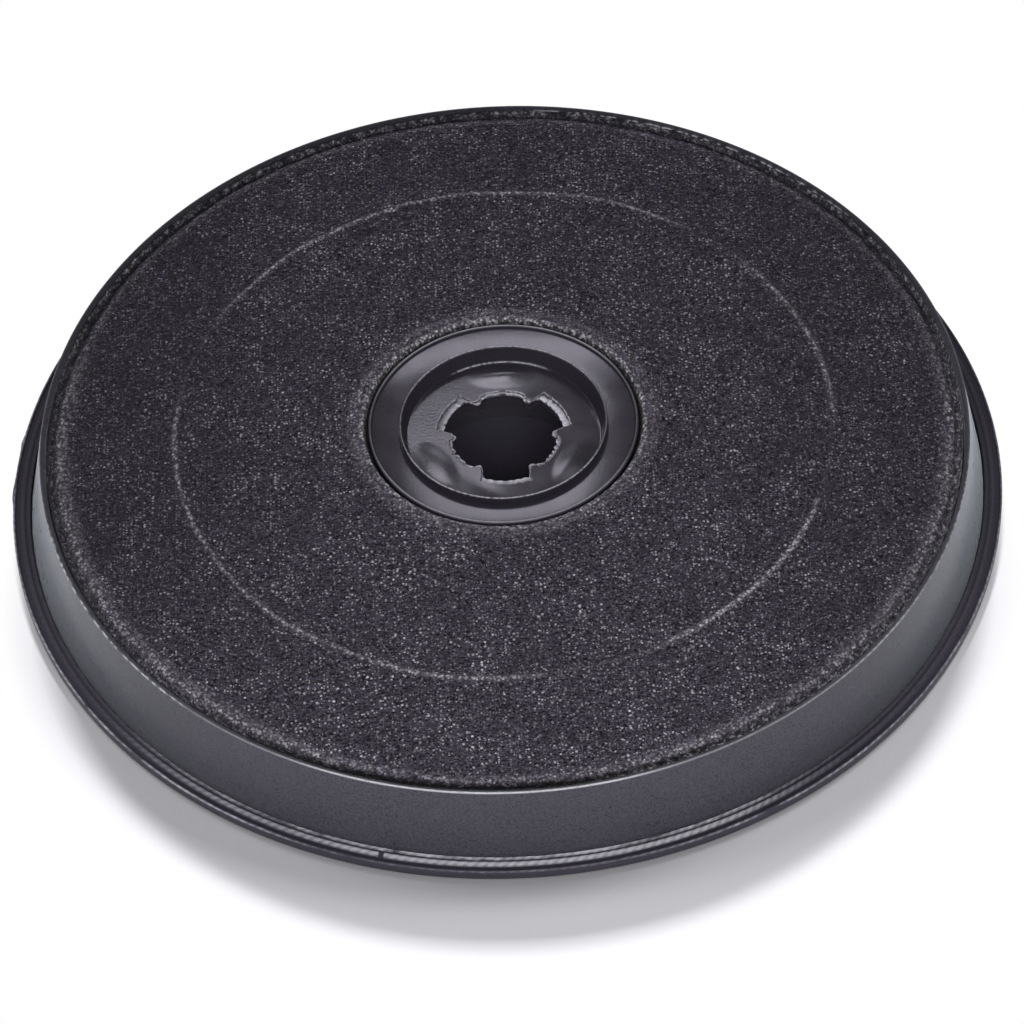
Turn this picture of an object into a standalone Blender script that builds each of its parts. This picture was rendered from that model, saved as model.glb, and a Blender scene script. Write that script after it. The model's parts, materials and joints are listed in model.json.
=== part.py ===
"""Round activated carbon filter for a cooker hood, with a bayonet hub.

Metres, +Z up. The origin is in the middle of the underside, so the filter lies on z = 0 with its felt side up.
Each piece of the filter is one object. A profile is a list of (radius, height) points that a Screw modifier turns
round the Z axis: it runs out along the top, down the outer side and back in along the bottom.
"""

import math

import bmesh
import bpy

OBJECT_NAME = "carbon_filter"

# Fits
CLEARANCE = 0.0003              # between pieces that touch on the real filter
GUTTER_WIDTH = 0.0006           # open groove between the wall's foot and the rim round it

# Base moulding
FLOOR_THICKNESS = 0.0016
RIM_WIDTH = 0.0044              # how far the rim stands out from the wall's foot
BASE_EDGE_BREAK = 0.0005        # chamfer at the foot of the rim
LIP_HEIGHT = 0.0030             # outer lip of the rim, above the underside
LIP_WIDTH = 0.0006
LIP_CHAMFER = 0.0002
GROOVE_WIDTH = 0.0004           # between the lip and the bead
GROOVE_HEIGHT = 0.0024          # bottom of that groove, above the underside
BEAD_HEIGHT = 0.0037            # rounded bead inside the lip, above the underside
BEAD_START = 135.0              # degrees where its round begins, towards the wall
BEAD_END = 15.0                 # degrees where it ends, at the groove
VALLEY_HEIGHT = 0.0032          # hollow between the bead and the crest
CREST_HEIGHT = 0.0039           # thin crest at the wall's foot, above the underside
CREST_WIDTH = 0.0005
RIB_PLACE = 0.598               # share of the way from the hub's lip to the wall's foot
RIB_THICKNESS = 0.0014

# Air windows in the floor
SPOKE_WIDTH = 0.0024
WINDOW_MARGIN = 0.0022          # plain band between a window and the sleeve, rib or wall
MIDDLE_RING_RADIUS = 0.0515     # ring that parts the two inner rows
MIDDLE_RING_WIDTH = 0.0026
INNER_WINDOWS = 24
OUTER_WINDOWS = 36

# Casing
CASING_TOP = 0.0210             # top edge of the wall, above the underside
WALL_FOOT_RADIUS = 0.1121
WALL_DRAFT = 0.0037             # how much narrower the wall is at its top edge
WALL_THICKNESS = 0.0016
WALL_TOP_THICKNESS = 0.0012
LEDGE_DEPTH = 0.0038            # how far the felt's ledge reaches in from the wall's top edge
LEDGE_DROP = 0.0044             # top of the ledge, below the casing's top
LEDGE_THICKNESS = 0.0012
LEDGE_BRACE = 0.0010            # taper under the ledge

# Hub
HUB_TOP = 0.0235                # top of the raised lip, above the underside
HUB_RADIUS = 0.0243             # outside of the raised lip
HUB_WALL = 0.0005               # thickness of that lip at its top
RECESS_DEPTH = 0.0041           # from the lip's top to the plate
RECESS_DRAFT = 0.0011           # how much narrower the recess is at the plate
PLATE_THICKNESS = 0.0030
FLANGE_WIDTH = 0.0073           # from the lip to the flange's edge
FLANGE_DROP = 0.0017            # the flange's surface at the lip, below the lip's top
FLANGE_RISE = 0.0006            # how much the flange climbs towards its edge
FLANGE_THICKNESS = 0.0014
FLANGE_BEAD_WIDTH = 0.0009
FLANGE_BEAD_HEIGHT = 0.0008
FLANGE_BEAD_CHAMFER = 0.0003
LIP_ROUNDING = 0.00015
SKIRT_THICKNESS = 0.0014
SLEEVE_THICKNESS = 0.0014
BASE_TO_SKIRT = 0.0006          # gap under the skirt

# Bayonet hole
LOBES = 3
LOBE_RADIUS = 0.0158            # edge of the plate's top round a lobe
LOBE_HALF_ANGLE = 22.0          # degrees
LOBE_LEDGE = 0.0016             # width of the low ledge round a lobe
LOBE_LEDGE_DROP = 0.0007        # from the plate down to that ledge
LOBE_LEDGE_SPREAD = 1.0         # degrees that the ledge runs past the lobe at each end
NECK_RADIUS = 0.0125            # edge of the hole between the lobes
TOOTH_OFFSET = 9.0              # degrees from the end of a lobe to the tooth beside it
TOOTH_RADIUS = 0.0011
TOOTH_NOSE_ANGLE = 75.0         # degrees of its round nose to each side
TOOTH_REACH = 0.0012            # how far a tooth stands in from the neck
FIRST_LOBE = 30.0               # degrees from +X
PAD_INSET = 0.0045              # from the recess wall's foot to a pad's middle
PAD_RADIAL_HALF = 0.0039
PAD_LENGTH_HALF = 0.0086
PAD_HEIGHT = 0.0006

# Felt and carbon
FELT_THICKNESS = 0.0032
FELT_CLAMPED = 0.0018           # under the hub's flange
WELD_DROP = 0.0022              # weld line at the rim, below the casing's top
SHOULDER_DROP = 0.0012          # felt just inside the weld, below the casing's top
SHOULDER_INSET = 0.0038         # from the wall's top edge to that shoulder
SHOULDER_ROUND = 0.0012
SHOULDER_FALL = 0.0004          # how far the rounded shoulder falls over that round
WELD_WIDTH = 0.0006             # flat weld line beside the wall
CREASE_TOP = 0.0224             # crease over the rib, above the underside
CREASE_WIDTH = 0.0011           # from its middle to its foot
CREASE_FLAT = 0.00028           # from its middle to the edge of its flat top
CREASE_HEIGHT = 0.00035         # how far the crease stands above the felt beside it
COLLAR_OFFSET = 0.0029          # from the hub's flange to the swollen edge of the felt round it
COLLAR_RISE = 0.0004            # top of that edge, above the hub's lip
COLLAR_ROUND = 0.0013
COLLAR_START = 165.0            # degrees where the collar's round begins, towards the hub
COLLAR_END = 75.0               # degrees where it runs out into the felt
LINER_THICKNESS = 0.0020
BED_TO_WALL = 0.0006            # loose carbon beside the casing
LINER_TO_WALL = 0.0009

# Facets of the turned pieces and of the arcs
OUTER_STEPS = 72
HUB_STEPS = 60
HIDDEN_STEPS = 48
ROUND_STEPS = 4
LOBE_STEPS = 6
NECK_STEPS = 3
COLLAR_STEPS = 3
PAD_SEGMENTS = 20
PAD_RINGS = 8
MERGE_DISTANCE = 0.00002
SMOOTH_ANGLE = math.radians(32)

# Heights and radii that follow
BASE_RADIUS = WALL_FOOT_RADIUS + RIM_WIDTH
WALL_TOP_RADIUS = WALL_FOOT_RADIUS - WALL_DRAFT
FLOOR_TOP = FLOOR_THICKNESS
WALL_FOOT = FLOOR_TOP + CLEARANCE
LEDGE_TOP = CASING_TOP - LEDGE_DROP
LEDGE_BOTTOM = LEDGE_TOP - LEDGE_THICKNESS
LEDGE_RADIUS = WALL_TOP_RADIUS - LEDGE_DEPTH
FELT_RADIUS = WALL_TOP_RADIUS - WALL_TOP_THICKNESS - CLEARANCE
FLANGE_RADIUS = HUB_RADIUS + FLANGE_WIDTH
PLATE_TOP = HUB_TOP - RECESS_DEPTH
PLATE_BOTTOM = PLATE_TOP - PLATE_THICKNESS
FLANGE_SURFACE = HUB_TOP - FLANGE_DROP
FLANGE_BOTTOM = FLANGE_SURFACE - FLANGE_THICKNESS
SLEEVE_RADIUS = HUB_RADIUS
SLEEVE_BORE = SLEEVE_RADIUS - SLEEVE_THICKNESS
SKIRT_RADIUS = SLEEVE_BORE - CLEARANCE
SKIRT_BORE = SKIRT_RADIUS - SKIRT_THICKNESS
RECESS_RADIUS = HUB_RADIUS - HUB_WALL
RECESS_FOOT_RADIUS = RECESS_RADIUS - RECESS_DRAFT
RIB_RADIUS = HUB_RADIUS + RIB_PLACE * (WALL_FOOT_RADIUS - HUB_RADIUS)
RIB_INNER = RIB_RADIUS - RIB_THICKNESS / 2
RIB_OUTER = RIB_RADIUS + RIB_THICKNESS / 2
SHOULDER_RADIUS = WALL_TOP_RADIUS - SHOULDER_INSET
SHOULDER_TOP = CASING_TOP - SHOULDER_DROP
COLLAR_RADIUS = FLANGE_RADIUS + COLLAR_OFFSET
COLLAR_TOP = HUB_TOP + COLLAR_RISE
CREASE_FOOT = CREASE_TOP - CREASE_HEIGHT
BED_BOTTOM = FLOOR_TOP + 2 * CLEARANCE + LINER_THICKNESS


def wall_radius(height):
    """Outer radius of the drafted wall at a height."""
    share = (height - WALL_FOOT) / (CASING_TOP - WALL_FOOT)
    return WALL_FOOT_RADIUS + share * (WALL_TOP_RADIUS - WALL_FOOT_RADIUS)


def felt_top(radius):
    """Height of the felt's upper side between the collar and the shoulder, the crease left out."""
    if radius < RIB_RADIUS:
        share = (radius - COLLAR_RADIUS) / (RIB_RADIUS - COLLAR_RADIUS)
        return COLLAR_TOP + share * (CREASE_FOOT - COLLAR_TOP)
    share = (radius - RIB_RADIUS) / (SHOULDER_RADIUS - RIB_RADIUS)
    return CREASE_FOOT + share * (SHOULDER_TOP - CREASE_FOOT)


def felt_bottom(radius):
    """Height of the felt's underside over the carbon."""
    return felt_top(radius) - FELT_THICKNESS


def arc(centre, radius, start, end, steps):
    """Points on an arc, from one angle to another in degrees."""
    points = []
    for step in range(steps + 1):
        angle = math.radians(start + (end - start) * step / steps)
        points.append((centre[0] + radius * math.cos(angle), centre[1] + radius * math.sin(angle)))
    return points


def clear_scene():
    for item in list(bpy.data.objects):
        bpy.data.objects.remove(item, do_unlink=True)


def collection(name):
    made = bpy.data.collections.new(name)
    bpy.context.scene.collection.children.link(made)
    return made


def material(name, colour, roughness, metallic=0.0):
    made = bpy.data.materials.new(name)
    made.use_nodes = True
    shader = made.node_tree.nodes["Principled BSDF"]
    shader.inputs["Base Color"].default_value = (*colour, 1.0)
    shader.inputs["Roughness"].default_value = roughness
    shader.inputs["Metallic"].default_value = metallic
    made.diffuse_color = (*colour, 1.0)
    return made


def baked(item, group):
    """Replaces an object by a new one whose mesh is its evaluated mesh, in world space."""
    graph = bpy.context.evaluated_depsgraph_get()
    evaluated = item.evaluated_get(graph)
    mesh = bpy.data.meshes.new_from_object(evaluated, depsgraph=graph)
    mesh.transform(item.matrix_world)
    name = item.name
    bpy.data.objects.remove(item, do_unlink=True)
    mesh.name = name
    result = bpy.data.objects.new(name, mesh)
    group.objects.link(result)
    work = bmesh.new()
    work.from_mesh(mesh)
    bmesh.ops.remove_doubles(work, verts=work.verts, dist=MERGE_DISTANCE)
    work.to_mesh(mesh)
    work.free()
    return result


def turned(name, profile, steps, group, closed=True):
    """A profile turned round the Z axis; an open profile starts and ends on the axis."""
    mesh = bpy.data.meshes.new(name)
    count = len(profile)
    edges = [(index, index + 1) for index in range(count - 1)]
    if closed:
        edges.append((count - 1, 0))
    mesh.from_pydata([(radius, 0.0, height) for radius, height in profile], edges, [])
    item = bpy.data.objects.new(name, mesh)
    group.objects.link(item)
    screw = item.modifiers.new("turn", "SCREW")
    screw.axis = "Z"
    screw.steps = steps
    screw.render_steps = steps
    screw.use_merge_vertices = True
    screw.merge_threshold = MERGE_DISTANCE
    return baked(item, group)


def outline(name, loops, bottom, top, group):
    """Flat loops of (x, y) points, filled and extruded between two heights."""
    curve = bpy.data.curves.new(name, "CURVE")
    curve.dimensions = "2D"
    curve.fill_mode = "BOTH"
    curve.extrude = (top - bottom) / 2
    for points in loops:
        spline = curve.splines.new("POLY")
        spline.points.add(len(points) - 1)
        for point, (x, y) in zip(spline.points, points):
            point.co = (x, y, 0.0, 1.0)
        spline.use_cyclic_u = True
    item = bpy.data.objects.new(name, curve)
    item.location.z = (top + bottom) / 2
    group.objects.link(item)
    bpy.context.view_layer.update()
    return baked(item, group)


def combine(target, tool, operation):
    boolean = target.modifiers.new(tool.name, "BOOLEAN")
    boolean.operation = operation
    boolean.solver = "EXACT"
    boolean.object = tool
    tool.hide_render = True
    tool.display_type = "WIRE"


def finish(item, look):
    """Material and smooth shading on a piece."""
    item.data.materials.clear()
    item.data.materials.append(look)
    item.data.shade_smooth()
    item.data.set_sharp_from_angle(angle=SMOOTH_ANGLE)


def casing_profile():
    top_round = WALL_TOP_THICKNESS / 2
    middle = (WALL_TOP_RADIUS - top_round, CASING_TOP - top_round)
    brace_bottom = LEDGE_BOTTOM - LEDGE_BRACE
    profile = arc(middle, top_round, 180, 0, ROUND_STEPS)
    profile += [
        (WALL_FOOT_RADIUS, WALL_FOOT),
        (WALL_FOOT_RADIUS - WALL_THICKNESS, WALL_FOOT),
        (wall_radius(brace_bottom) - WALL_THICKNESS, brace_bottom),
        (LEDGE_RADIUS, LEDGE_BOTTOM),
        (LEDGE_RADIUS, LEDGE_TOP),
        (WALL_TOP_RADIUS - WALL_TOP_THICKNESS, LEDGE_TOP),
    ]
    return profile


def rim_profile():
    """The beaded rim of the base, from its inner crest over the bead and the groove to the lip."""
    gutter_radius = wall_radius(CREST_HEIGHT) + GUTTER_WIDTH
    groove_outer = BASE_RADIUS - LIP_WIDTH
    groove_inner = groove_outer - GROOVE_WIDTH
    valley = gutter_radius + CREST_WIDTH + (CREST_HEIGHT - VALLEY_HEIGHT)
    bead_round = (groove_inner - valley) / 2
    bead_middle = (groove_inner - bead_round, BEAD_HEIGHT - bead_round)
    return [
        (WALL_FOOT_RADIUS + CLEARANCE, FLOOR_TOP),
        (gutter_radius, CREST_HEIGHT),
        (gutter_radius + CREST_WIDTH, CREST_HEIGHT),
        (valley, VALLEY_HEIGHT),
        *arc(bead_middle, bead_round, BEAD_START, BEAD_END, ROUND_STEPS),
        (groove_inner, GROOVE_HEIGHT),
        (groove_outer, GROOVE_HEIGHT),
        (groove_outer, LIP_HEIGHT),
        (BASE_RADIUS - LIP_CHAMFER, LIP_HEIGHT),
        (BASE_RADIUS, LIP_HEIGHT - LIP_CHAMFER),
        (BASE_RADIUS, BASE_EDGE_BREAK),
        (BASE_RADIUS - BASE_EDGE_BREAK, 0.0),
    ]


def base_profile():
    sleeve_top = PLATE_BOTTOM - CLEARANCE
    rib_top = felt_bottom(RIB_RADIUS) - CLEARANCE
    return [
        (0.0, FLOOR_TOP),
        (SLEEVE_BORE, FLOOR_TOP),
        (SLEEVE_BORE, sleeve_top),
        (SLEEVE_RADIUS, sleeve_top),
        (SLEEVE_RADIUS, FLOOR_TOP),
        (RIB_INNER, FLOOR_TOP),
        (RIB_INNER, rib_top),
        (RIB_OUTER, rib_top),
        (RIB_OUTER, FLOOR_TOP),
        *rim_profile(),
        (0.0, 0.0),
    ]


def window_row(inner, outer, count, arc_steps):
    """Outlines of one row of windows, with straight spokes of one width between them."""
    loops = []
    pitch = 2 * math.pi / count
    for index in range(count):
        middle = (index + 0.5) * pitch
        points = []
        for radius, direction in ((inner, -1), (outer, 1)):
            half = pitch / 2 - math.asin(SPOKE_WIDTH / 2 / radius)
            for step in range(arc_steps + 1):
                angle = middle + direction * half * (2 * step / arc_steps - 1)
                points.append((radius * math.cos(angle), radius * math.sin(angle)))
        loops.append(points)
    return loops


def window_loops():
    ring_half = MIDDLE_RING_WIDTH / 2
    wall_inner = WALL_FOOT_RADIUS - WALL_THICKNESS
    rows = window_row(SLEEVE_RADIUS + WINDOW_MARGIN, MIDDLE_RING_RADIUS - ring_half, INNER_WINDOWS, 1)
    rows += window_row(MIDDLE_RING_RADIUS + ring_half, RIB_INNER - WINDOW_MARGIN, INNER_WINDOWS, 2)
    rows += window_row(RIB_OUTER + WINDOW_MARGIN, wall_inner - WINDOW_MARGIN, OUTER_WINDOWS, 2)
    return rows


def hub_profile():
    """The hub, with a plate whose bore is still small and round."""
    lip_inner = RECESS_RADIUS
    edge = FLANGE_RADIUS
    bead_inner = edge - FLANGE_BEAD_WIDTH
    edge_surface = FLANGE_SURFACE + FLANGE_RISE
    bead_top = edge_surface + FLANGE_BEAD_HEIGHT
    bore = NECK_RADIUS - TOOTH_REACH - TOOTH_RADIUS
    return [
        (bore, PLATE_TOP),
        (RECESS_FOOT_RADIUS, PLATE_TOP),
        (lip_inner, HUB_TOP - LIP_ROUNDING),
        (lip_inner + LIP_ROUNDING, HUB_TOP),
        (HUB_RADIUS - LIP_ROUNDING, HUB_TOP),
        (HUB_RADIUS, HUB_TOP - LIP_ROUNDING),
        (HUB_RADIUS, FLANGE_SURFACE),
        (bead_inner, edge_surface),
        (bead_inner + FLANGE_BEAD_CHAMFER, bead_top),
        (edge - FLANGE_BEAD_CHAMFER, bead_top),
        (edge, bead_top - FLANGE_BEAD_CHAMFER),
        (edge, FLANGE_BOTTOM + FLANGE_RISE),
        (HUB_RADIUS, FLANGE_BOTTOM),
        (HUB_RADIUS, PLATE_BOTTOM),
        (SKIRT_RADIUS, PLATE_BOTTOM),
        (SKIRT_RADIUS, FLOOR_TOP + BASE_TO_SKIRT),
        (SKIRT_BORE, FLOOR_TOP + BASE_TO_SKIRT),
        (SKIRT_BORE, PLATE_BOTTOM),
        (bore, PLATE_BOTTOM),
    ]


def tooth(angle):
    """The round nose of one tooth, which points at the axis."""
    middle_radius = NECK_RADIUS + TOOTH_RADIUS - TOOTH_REACH
    turn = math.radians(angle)
    middle = (middle_radius * math.cos(turn), middle_radius * math.sin(turn))
    inward = angle + 180
    return arc(middle, TOOTH_RADIUS, inward + TOOTH_NOSE_ANGLE, inward - TOOTH_NOSE_ANGLE, ROUND_STEPS)


def hole_outline():
    """Edge of the bayonet hole: lobes, a round tooth at each side of them, and the necks between."""
    points = []
    lobe_radius = LOBE_RADIUS - LOBE_LEDGE
    pitch = 360.0 / LOBES
    to_tooth = LOBE_HALF_ANGLE + TOOTH_OFFSET
    neck_half = pitch / 2 - to_tooth - math.degrees(2 * TOOTH_RADIUS / NECK_RADIUS)
    for lobe in range(LOBES):
        middle = FIRST_LOBE + lobe * pitch
        neck = middle + pitch / 2
        points += arc((0, 0), lobe_radius, middle - LOBE_HALF_ANGLE, middle + LOBE_HALF_ANGLE, LOBE_STEPS)
        points += tooth(middle + to_tooth)
        points += arc((0, 0), NECK_RADIUS, neck - neck_half, neck + neck_half, NECK_STEPS)
        points += tooth(middle + pitch - to_tooth)
    return points


def ledge_outlines():
    """Sectors of the plate that are sunk round the lobes; each starts inside the hole."""
    loops = []
    inner = NECK_RADIUS - TOOTH_RADIUS
    half = LOBE_HALF_ANGLE + LOBE_LEDGE_SPREAD
    for lobe in range(LOBES):
        middle = FIRST_LOBE + lobe * 360 / LOBES
        outer_edge = arc((0, 0), LOBE_RADIUS, middle - half, middle + half, LOBE_STEPS)
        loops.append(outer_edge + arc((0, 0), inner, middle + half, middle - half, 1))
    return loops


def pad(index, group):
    """A low dome on the plate, opposite a lobe."""
    mesh = bpy.data.meshes.new(f"pad_{index}")
    work = bmesh.new()
    bmesh.ops.create_uvsphere(work, u_segments=PAD_SEGMENTS, v_segments=PAD_RINGS, radius=1.0)
    work.to_mesh(mesh)
    work.free()
    item = bpy.data.objects.new(f"pad_{index}", mesh)
    group.objects.link(item)
    angle = math.radians(FIRST_LOBE + (index + 0.5) * 360 / LOBES)
    radius = RECESS_FOOT_RADIUS - PAD_INSET
    item.location = (radius * math.cos(angle), radius * math.sin(angle), PLATE_TOP)
    item.rotation_euler.z = angle
    item.scale = (PAD_RADIAL_HALF, PAD_LENGTH_HALF, PAD_HEIGHT)
    bpy.context.view_layer.update()
    return baked(item, group)


def cover_profile():
    inner = HUB_RADIUS + CLEARANCE
    under_flange = FLANGE_BOTTOM - CLEARANCE
    beside_flange = FLANGE_RADIUS + CLEARANCE
    weld_top = CASING_TOP - WELD_DROP
    ledge = LEDGE_TOP + CLEARANCE
    clamped = under_flange - FELT_CLAMPED
    collar_middle = (COLLAR_RADIUS, COLLAR_TOP - COLLAR_ROUND)
    top = [
        (inner, under_flange),
        (beside_flange, under_flange + FLANGE_RISE),
        *arc(collar_middle, COLLAR_ROUND, COLLAR_START, COLLAR_END, COLLAR_STEPS),
        (RIB_RADIUS - CREASE_WIDTH, felt_top(RIB_RADIUS - CREASE_WIDTH)),
        (RIB_RADIUS - CREASE_FLAT, CREASE_TOP),
        (RIB_RADIUS + CREASE_FLAT, CREASE_TOP),
        (RIB_RADIUS + CREASE_WIDTH, felt_top(RIB_RADIUS + CREASE_WIDTH)),
        (SHOULDER_RADIUS - SHOULDER_ROUND, felt_top(SHOULDER_RADIUS - SHOULDER_ROUND)),
        (SHOULDER_RADIUS, SHOULDER_TOP),
        (SHOULDER_RADIUS + SHOULDER_ROUND, SHOULDER_TOP - SHOULDER_FALL),
        (FELT_RADIUS - WELD_WIDTH, weld_top),
        (FELT_RADIUS, weld_top),
    ]
    bottom = [
        (FELT_RADIUS, ledge),
        (LEDGE_RADIUS, ledge),
        (LEDGE_RADIUS - SHOULDER_ROUND, felt_bottom(LEDGE_RADIUS - SHOULDER_ROUND)),
        (RIB_RADIUS, felt_bottom(RIB_RADIUS)),
        (COLLAR_RADIUS, felt_bottom(COLLAR_RADIUS)),
        (beside_flange - COLLAR_ROUND, clamped),
        (inner, clamped),
    ]
    return top + bottom


def bed_inner_profile():
    outer = RIB_INNER - CLEARANCE
    inner = SLEEVE_RADIUS + CLEARANCE
    clamped = FLANGE_BOTTOM - CLEARANCE - FELT_CLAMPED - CLEARANCE
    return [
        (inner, clamped),
        (FLANGE_RADIUS + CLEARANCE - COLLAR_ROUND, clamped),
        (COLLAR_RADIUS, felt_bottom(COLLAR_RADIUS) - CLEARANCE),
        (outer, felt_bottom(outer) - CLEARANCE),
        (outer, BED_BOTTOM),
        (inner, BED_BOTTOM),
    ]


def bed_outer_profile():
    inner = RIB_OUTER + CLEARANCE
    shoulder = LEDGE_RADIUS - SHOULDER_ROUND
    below_ledge = LEDGE_BOTTOM - LEDGE_BRACE - CLEARANCE
    return [
        (inner, felt_bottom(inner) - CLEARANCE),
        (shoulder, felt_bottom(shoulder) - CLEARANCE),
        (shoulder, below_ledge),
        (wall_radius(below_ledge) - WALL_THICKNESS - BED_TO_WALL, below_ledge),
        (wall_radius(BED_BOTTOM) - WALL_THICKNESS - BED_TO_WALL, BED_BOTTOM),
        (inner, BED_BOTTOM),
    ]


def liner_profile(inner, outer):
    bottom = FLOOR_TOP + CLEARANCE
    top = bottom + LINER_THICKNESS
    return [(inner, top), (outer, top), (outer, bottom), (inner, bottom)]


def build():
    clear_scene()
    parts = collection(OBJECT_NAME)
    cutters = collection("cutters")

    casing_look = material("casing_plastic", (0.075, 0.077, 0.085), 0.42)
    base_look = material("base_plastic", (0.060, 0.060, 0.070), 0.38)
    hub_look = material("hub_plastic", (0.045, 0.045, 0.055), 0.25)
    felt_look = material("felt", (0.032, 0.029, 0.042), 0.95)
    liner_look = material("liner_felt", (0.040, 0.038, 0.050), 0.95)
    carbon_look = material("carbon", (0.012, 0.012, 0.013), 0.80)

    casing = turned("casing", casing_profile(), OUTER_STEPS, parts)
    finish(casing, casing_look)

    base = turned("base_grille", base_profile(), OUTER_STEPS, parts, closed=False)
    windows = outline("windows", window_loops(), -FLOOR_THICKNESS, 2 * FLOOR_THICKNESS, cutters)
    combine(base, windows, "DIFFERENCE")
    finish(base, base_look)

    hub = turned("hub_socket", hub_profile(), HUB_STEPS, parts)
    hole = outline("bayonet_hole", [hole_outline()], PLATE_BOTTOM - PLATE_THICKNESS, HUB_TOP, cutters)
    ledges = outline("lobe_ledges", ledge_outlines(), PLATE_TOP - LOBE_LEDGE_DROP, HUB_TOP, cutters)
    for index in range(LOBES):
        combine(hub, pad(index, cutters), "UNION")
    combine(hub, hole, "DIFFERENCE")
    combine(hub, ledges, "DIFFERENCE")
    finish(hub, hub_look)

    cover = turned("fleece_cover", cover_profile(), OUTER_STEPS, parts)
    finish(cover, felt_look)

    for name, inner, outer in (
        ("liner_inner", SLEEVE_RADIUS + CLEARANCE, RIB_INNER - CLEARANCE),
        ("liner_outer", RIB_OUTER + CLEARANCE, WALL_FOOT_RADIUS - WALL_THICKNESS - LINER_TO_WALL),
    ):
        finish(turned(name, liner_profile(inner, outer), HIDDEN_STEPS, parts), liner_look)

    finish(turned("carbon_bed_inner", bed_inner_profile(), HIDDEN_STEPS, parts), carbon_look)
    finish(turned("carbon_bed_outer", bed_outer_profile(), HIDDEN_STEPS, parts), carbon_look)


build()
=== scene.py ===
"""Looks of the round carbon filter: its fine surfaces, finishes, light and camera."""

import json
import math

import bmesh
import bpy
import numpy as np
from mathutils import Matrix, Vector

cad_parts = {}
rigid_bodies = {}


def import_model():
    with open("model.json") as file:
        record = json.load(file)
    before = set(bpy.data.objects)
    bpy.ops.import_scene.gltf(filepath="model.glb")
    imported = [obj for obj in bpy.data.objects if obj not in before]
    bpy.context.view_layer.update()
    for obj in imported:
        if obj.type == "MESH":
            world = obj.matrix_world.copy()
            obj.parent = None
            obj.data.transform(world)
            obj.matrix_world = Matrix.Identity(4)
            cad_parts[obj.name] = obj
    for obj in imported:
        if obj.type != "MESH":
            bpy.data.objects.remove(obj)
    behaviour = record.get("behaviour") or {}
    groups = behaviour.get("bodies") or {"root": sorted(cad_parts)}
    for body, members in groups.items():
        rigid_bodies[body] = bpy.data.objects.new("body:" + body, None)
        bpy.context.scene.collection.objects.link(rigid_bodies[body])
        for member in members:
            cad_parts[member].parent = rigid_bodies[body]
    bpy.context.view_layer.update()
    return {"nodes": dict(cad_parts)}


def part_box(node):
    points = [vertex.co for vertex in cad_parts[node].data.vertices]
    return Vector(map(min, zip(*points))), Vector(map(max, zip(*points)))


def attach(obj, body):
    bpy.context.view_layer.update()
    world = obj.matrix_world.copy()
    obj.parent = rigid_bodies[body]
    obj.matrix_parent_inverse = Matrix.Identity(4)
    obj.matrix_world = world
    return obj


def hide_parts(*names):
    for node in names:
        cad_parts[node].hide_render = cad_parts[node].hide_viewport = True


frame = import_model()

BODY = "root"

# Sizes read from the frame, in metres
CASING_LOW, CASING_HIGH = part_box("casing")
_, BASE_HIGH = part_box("base_grille")
HUB_LOW, HUB_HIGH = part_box("hub_socket")
COVER_LOW, COVER_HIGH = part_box("fleece_cover")
CASING_TOP = CASING_HIGH[2]
WALL_FOOT = CASING_LOW[2]
WALL_FOOT_RADIUS = CASING_HIGH[0]
BASE_RADIUS = BASE_HIGH[0]
SLEEVE_TOP = BASE_HIGH[2]
HUB_TOP = HUB_HIGH[2]
HUB_BOTTOM = HUB_LOW[2]
FLANGE_RADIUS = HUB_HIGH[0]
FELT_RADIUS = COVER_HIGH[0]
COLLAR_TOP = COVER_HIGH[2]
FELT_BOTTOM = COVER_LOW[2]

# Casing
WALL_DRAFT = 0.0037
WALL_THICKNESS = 0.0016
WALL_TOP_THICKNESS = 0.0012
LEDGE_TOP = 0.0166
LEDGE_THICKNESS = 0.0012
LEDGE_DEPTH = 0.0038
LEDGE_BRACE = 0.001
WALL_TOP_RADIUS = WALL_FOOT_RADIUS - WALL_DRAFT
WALL_TOP_INNER = WALL_TOP_RADIUS - WALL_TOP_THICKNESS
TOP_FACE_DEPTH = 0.0012
TOP_INNER_STEP = 0.0003
TOP_OUTER_STEP = 0.0004
WALL_STEP = 0.03
TOP_SLOPE = 0.0006
EDGE_ROUND = 0.001
SMALL_ROUND = 0.0002
BEAD_ROUND = 0.0004
CHIP = (-0.0934, -0.0572, 0.01525)
CHIP_RADIUS = 0.0004
SIDE_STEP = 0.0006

# Base moulding
FLOOR_TOP = 0.0016
FLOOR_MIDDLE = 0.002
SLEEVE_RADIUS = 0.0243
SLEEVE_BORE = 0.0229
RIB_RADIUS = 0.0768
RIB_HALF = 0.0007
RIB_TOP = 0.01855
GUTTER_RADIUS = 0.11233
CREST_HEIGHT = 0.00315
CREST_WIDTH = 0.0005
VALLEY_RADIUS = 0.1134
VALLEY_HEIGHT = 0.00295
BEAD_HEIGHT = 0.00315
BEAD_RADIUS = 0.1142
BEAD_HALF = 0.0003
LIP_HEIGHT = 0.003
LIP_WIDTH = 0.0007
LIP_SLOPE = 0.0002
GROOVE_WIDTH = 0.0008
GROOVE_HEIGHT = 0.0027
SPOKE_WIDTH = 0.0024
DASHES = 325
DASH_TURN = 2800.0
WINDOW_MARGIN = 0.0022
WINDOW_CHAMFER = 0.0003
MIDDLE_RING_RADIUS = 0.0515
MIDDLE_RING_HALF = 0.0013
INNER_WINDOWS = 24
OUTER_WINDOWS = 36
NICK_ANGLE = math.radians(253.7)
NICK_WIDTH = 0.0007
NICK_DEPTH = 0.0006
NICK_STEPS = 16
FLASH_ANGLES = (170.0, 177.2, 178.8)
FLASH_WIDTH = 0.9
FLASH_REACH = 0.0003
BASE_SHARP_ANGLE = math.radians(40)

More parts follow.
